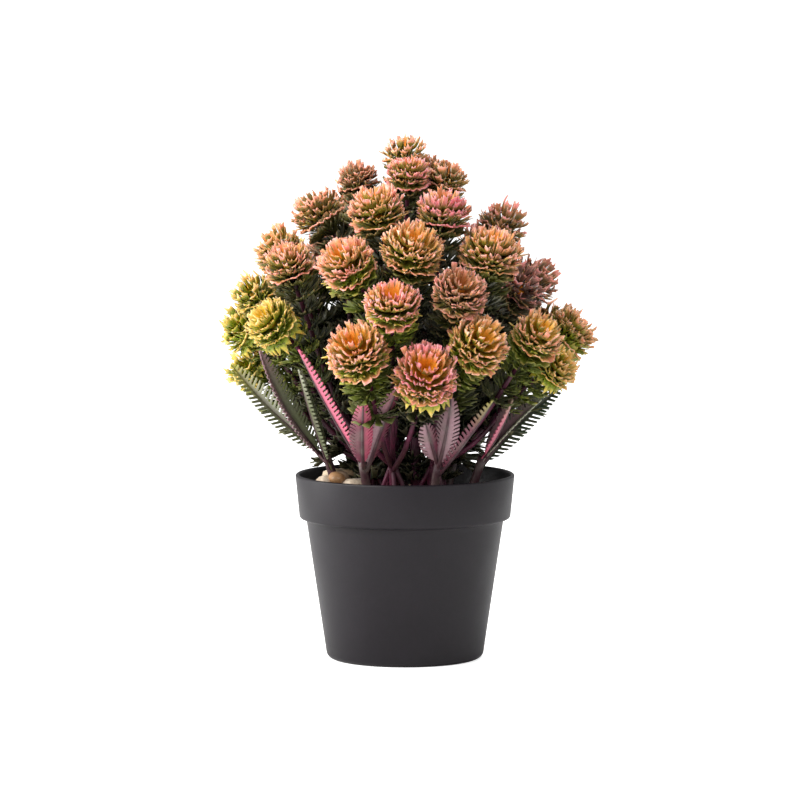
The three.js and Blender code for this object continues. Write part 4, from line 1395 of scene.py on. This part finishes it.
# Heading, reach and height of the tip, bow, roll and half width of each leaf of each tuft,
# how near the rib its slits come, and the dyes of its left and right halves and of its tip
TUFT_LEAVES = [
    [
        (-80, 72, 122, 3, -70, 6.6, 0.25, MOSS, SAGE, LIME),
        (-63, 66, 129, 6, -60, 6.8, 0.5, MAUVE, MOSS, MAUVE),
        (-50, 56, 122, 2, -45, 5.8, 0.3, MOSS, MOSS, SAGE),
    ],
    [
        (-41, 65, 131, 2, -35, 6.8, 0.35, ROSE, SAGE, ROSE),
        (-17, 57, 110, 3, 25, 5.8, 0.5, ROSE, PLUM, ROSE),
        (-3, 54, 117, -3, 20, 5.3, 0.6, PLUM, MAUVE, ROSE),
    ],
    [
        (10, 47, 101, 2, 15, 5.3, 0.5, PLUM, MAUVE, MAUVE),
        (20, 54, 112, 3, -30, 5.8, 0.5, MAUVE, MAUVE, PLUM),
        (41, 54, 110, 2, 25, 5.8, 0.35, MAUVE, PLUM, LIME),
    ],
    [
        (57, 52, 109, 2, 40, 5.8, 0.7, MAUVE, ROSE, BEIGE),
        (73, 58, 108, -2, 40, 5.8, 0.5, MAUVE, SAGE, SAGE),
        (86, 64, 112, -3, 80, 6.3, 0.2, PINE, PINE, PINE),
    ],
    [
        (119, 60, 108, 2, 15, 5.8, 0.3, MOSS, MAUVE, SAGE),
        (136, 63, 114, 4, 0, 6.3, 0.5, SAGE, MAUVE, MAUVE),
        (160, 54, 98, 2, -20, 5.8, 0.4, MAUVE, ROSE, ROSE),
    ],
    [
        (-160, 53, 102, 2, 20, 5.8, 0.5, ROSE, MAUVE, MAUVE),
        (-136, 60, 111, 4, 0, 6.3, 0.3, MOSS, SAGE, SAGE),
        (-115, 64, 121, 3, -15, 5.8, 0.4, MAUVE, SAGE, LIME),
    ],
]


# %% A comb leaf
def turn_about(vectors, axes, angle):
    """Vectors turned about their axes by an angle."""
    dots = np.sum(vectors * axes, axis=-1, keepdims=True)
    return (
        vectors * math.cos(angle)
        + np.cross(axes, vectors) * math.sin(angle)
        + axes * dots * (1 - math.cos(angle))
    )


class LeafClay(Clay):
    """A clay that also keeps a dye for each point: the colour that it was moulded in."""

    def __init__(self):
        super().__init__("rib")
        self.dyes = []

    def add_tube(self, path, radii, sides):
        """Adds a rib or a stalk, which are all of one dye."""
        before = len(self.points)
        tube(self, path, radii, sides, rib=1.0)
        self.dyes.extend([PLUM[:3]] * (len(self.points) - before))


class Leaf:
    """A comb leaf from its stalk's foot to its tip."""

    def __init__(self, start, values):
        heading, reach, height, bow, roll, half, self.cut, *self.dyes = values
        self.start = start
        self.tip = spot(heading, reach * MM, height * MM)
        self.outward = spot(heading, 1.0, 0.0)
        self.middle = (self.start + self.tip) / 2 + self.outward * bow * MM
        self.middle = self.middle - np.array((0, 0, bow * BOW_SAG * MM))
        self.roll = math.radians(roll)
        self.half = half * MM
        self.length = np.linalg.norm(self.tip - self.start)

    def half_at(self, share):
        """Half the width at a share of the leaf's way."""
        blade = np.clip((share - LEAF_STALK) / (1 - LEAF_STALK), 0, 1)
        crown = np.sin(np.pi * blade**0.75) ** 0.7
        return STALK_HALF + (self.half - STALK_HALF) * crown

    def surface(self, across, share):
        """Points of the leaf at places across it, in metres from its rib, and along it."""
        share = np.clip(share, 0, 1)
        rib = bezier(self.start, self.middle, self.tip, share)
        step = 2 * (1 - share)[..., None] * (self.middle - self.start)
        along = unit(step + 2 * share[..., None] * (self.tip - self.middle))
        side = np.broadcast_to(np.cross(self.outward, (0, 0, 1)), along.shape)
        side = turn_about(side, along, self.roll)
        face = unit(np.cross(side, along))
        side = np.cross(along, face)
        out = across[..., None]
        bend = np.abs(out) * math.sin(LEAF_FOLD) - EDGE_DROOP * out**2
        return rib + side * out * math.cos(LEAF_FOLD) + face * bend


def comb(leaf):
    """Shares along a leaf, and how far out its edge reaches at each of them, from the slits'
    ends at 0 to the teeth's ends at 1."""
    teeth = round(leaf.length * (1 - LEAF_STALK) / TOOTH_PITCH)
    pitch = (TEETH_END - LEAF_STALK) / teeth
    rows = [(0.0, 1.0), (LEAF_STALK * 0.5, 1.0)]
    for tooth in range(teeth):
        start = LEAF_STALK + tooth * pitch
        rows += [(start + offset * pitch, reach) for offset, reach in TOOTH_ROWS]
    rows += [(TEETH_END, 0.0), (0.985, 0.5), (1.0, 0.2)]
    share, reach = np.array(rows).T
    return share[:, None], reach[:, None]


def add_leaf(clay, leaf):
    """Adds a comb leaf's blade and its rib."""
    share, reach = comb(leaf)
    edge = np.abs(ACROSS)[None, :]
    slit = leaf.cut + RIM * np.clip(RIM_END - share, 0, 1)
    beyond = np.clip(edge - slit, 0, 1) * np.maximum(reach, SLIT_WIDTH)
    out = (np.minimum(edge, slit) + beyond) * leaf.half_at(share)
    lean = share + TOOTH_LEAN * np.clip(out - slit * leaf.half_at(share), 0, 1) / leaf.length
    thick = LEAF_THICK * (1 - 0.3 * edge) + 0 * out
    across = np.sign(ACROSS)[None, :] * out
    points, faces = thick_sheet(
        lambda u, v: leaf.surface(u * MM, v), across / MM, np.clip(lean, 0, 1), thick, False
    )
    clay.add(points, faces, rib=both_sides(np.clip(1 - edge / RIB_BAND, 0, 1) + 0 * out))
    left, right, tip = (np.array(dye[:3]) for dye in leaf.dyes)
    where = np.clip((share - TIP_DYE_FROM) / TIP_DYE_SPAN, 0, 1)[..., None] ** TIP_DYE_FADE
    halves = np.where((ACROSS < 0)[None, :, None], left, right)
    dye = halves * (1 - where) + tip * where
    clay.dyes.extend(dye.reshape(-1, 3).tolist() * 2)
    way = leaf.surface(np.zeros(RIB_STEPS), np.linspace(0, TEETH_END, RIB_STEPS))
    clay.add_tube(way, np.linspace(*RIB_RADII, RIB_STEPS), RIB_SIDES)


# %% Leaf finish
def make_leaf_plastic():
    """The dyes that the leaves carry, darker along the rib."""
    material, tree, shader = plastic("Leaf plastic", 0.5, 0.2, 1500.0, 0.0001)
    dye = tree.nodes.new("ShaderNodeAttribute")
    dye.attribute_name = "dye"
    rib = read_mask(tree, "rib")
    share = add_maths(tree, "MULTIPLY", rib, 0.8)
    ribbed = add_mix(tree, share, dye.outputs["Color"], screen(50, 34, 38))
    paint(tree, shader, ribbed, screen(112, 104, 96), 0.4, 130.0)
    return material


LEAF_PLASTIC = make_leaf_plastic()

# %% Build the leaf tufts
leaf_triangles = 0
for number, (low, fork) in enumerate(tuft_feet):
    leaf_clay = LeafClay()
    path = smooth_path([low, (low + fork) / 2, fork], 4)
    leaf_clay.add_tube(path, np.linspace(*STALK_RADII, len(path)), STALK_SIDES)
    for place, values in enumerate(TUFT_LEAVES[number]):
        start = fork + (low - fork) * (FIRST_LEAF_DROP + NEXT_LEAF_DROP * place)
        add_leaf(leaf_clay, Leaf(start, values))
    tuft = f"leaf_tuft_{number + 1}"
    piece = make_piece(f"comb_leaves_{number + 1}", leaf_clay, LEAF_PLASTIC, [tuft])
    layer = piece.data.attributes.new("dye", "FLOAT_COLOR", "POINT")
    opaque = np.ones(len(leaf_clay.dyes))
    layer.data.foreach_set("color", np.c_[np.array(leaf_clay.dyes), opaque].ravel())
    leaf_triangles += leaf_clay.triangles()
print("Leaves:", leaf_triangles, "triangles")

# %% [markdown]
# ## Studio
#
# A wide pale floor runs out past the camera's view, so it is the backdrop as well; a faint
# glow that only the camera sees makes it white, as a lit sweep behind a product is. A large
# soft light stands high on the left in front, a second one lights the left side from low
# down, a weak one on the right lifts the shadows and one hangs above. The sky lights the
# rest evenly and only a little, so that the inside of the bush stays dark.

# %% Floor and light
FLOOR_REACH = 40.0
FLOOR_GLOW = 0.75
LIGHTS_AIM = Vector((0, 0, 0.12))
SKY_STRENGTH = 0.56


def make_floor():
    corners = [(-FLOOR_REACH, -FLOOR_REACH, 0), (FLOOR_REACH, -FLOOR_REACH, 0)]
    corners += [(FLOOR_REACH, FLOOR_REACH, 0), (-FLOOR_REACH, FLOOR_REACH, 0)]
    mesh = bpy.data.meshes.new("floor")
    mesh.from_pydata(corners, [], [(0, 1, 2, 3)])
    material = bpy.data.materials.new("Pale floor")
    material.use_nodes = True
    tree = material.node_tree
    shader = tree.nodes["Principled BSDF"]
    shader.inputs["Base Color"].default_value = (0.88, 0.88, 0.88, 1)
    shader.inputs["Roughness"].default_value = 0.9
    shader.inputs["Specular IOR Level"].default_value = 0.1
    shader.inputs["Emission Color"].default_value = (1, 1, 1, 1)
    glow = tree.nodes.new("ShaderNodeLightPath").outputs["Is Camera Ray"]
    tree.links.new(add_maths(tree, "MULTIPLY", glow, FLOOR_GLOW), shader.inputs["Emission Strength"])
    mesh.materials.append(material)
    floor = bpy.data.objects.new("floor", mesh)
    bpy.context.scene.collection.objects.link(floor)


def add_softbox(name, place, size, power, tint):
    """A square area light that looks at the middle of the bush."""
    light = bpy.data.lights.new(name, "AREA")
    light.size = size
    light.energy = power
    light.color = tint
    lamp = bpy.data.objects.new(name, light)
    lamp.location = place
    aim = LIGHTS_AIM - Vector(place)
    lamp.rotation_euler = aim.to_track_quat("-Z", "Y").to_euler()
    bpy.context.scene.collection.objects.link(lamp)


make_floor()
add_softbox("key", (-1.2, -0.9, 1.1), 1.1, 32.0, (1.0, 0.98, 0.95))
add_softbox("side", (-1.6, 0.1, 0.5), 1.2, 22.0, (1.0, 1.0, 1.0))
add_softbox("fill", (1.2, -0.9, 0.6), 0.9, 2.0, (0.97, 0.98, 1.0))
add_softbox("top", (0.1, 0.3, 1.4), 0.9, 12.0, (1.0, 1.0, 1.0))
world = bpy.data.worlds.new("Sky")
world.use_nodes = True
sky = world.node_tree.nodes["Background"]
sky.inputs["Color"].default_value = (1, 1, 1, 1)
sky.inputs["Strength"].default_value = SKY_STRENGTH
bpy.context.scene.world = world
bpy.context.scene.view_settings.view_transform = "Standard"
print("Studio: floor, four soft lights and an even sky")

# %% [markdown]
# ## Camera
#
# The photograph was taken from a little above the rim with a long lens. The flattened
# ellipse of the rim gives the height of the camera, and the width of the pot in the frame
# gives the focal length at a distance of two metres.

# %% Camera
CAMERA_DISTANCE = 2.0
CAMERA_HEIGHT = 0.296
FRAME_WIDTH = 0.328
SENSOR_WIDTH = 36.0
FAR_CLIP = 200.0
AIM = Vector((-0.00205, 0.0, 0.1063))


def make_camera():
    camera = bpy.data.cameras.new("camera")
    view = bpy.data.objects.new("camera", camera)
    view.location = (AIM.x, -CAMERA_DISTANCE, CAMERA_HEIGHT)
    aim = AIM - view.location
    view.rotation_euler = aim.to_track_quat("-Z", "Y").to_euler()
    camera.sensor_width = SENSOR_WIDTH
    camera.lens = SENSOR_WIDTH * aim.length / FRAME_WIDTH
    camera.clip_end = FAR_CLIP
    bpy.context.scene.collection.objects.link(view)
    bpy.context.scene.camera = view
    return camera.lens


print("Camera lens:", round(make_camera(), 1), "mm")
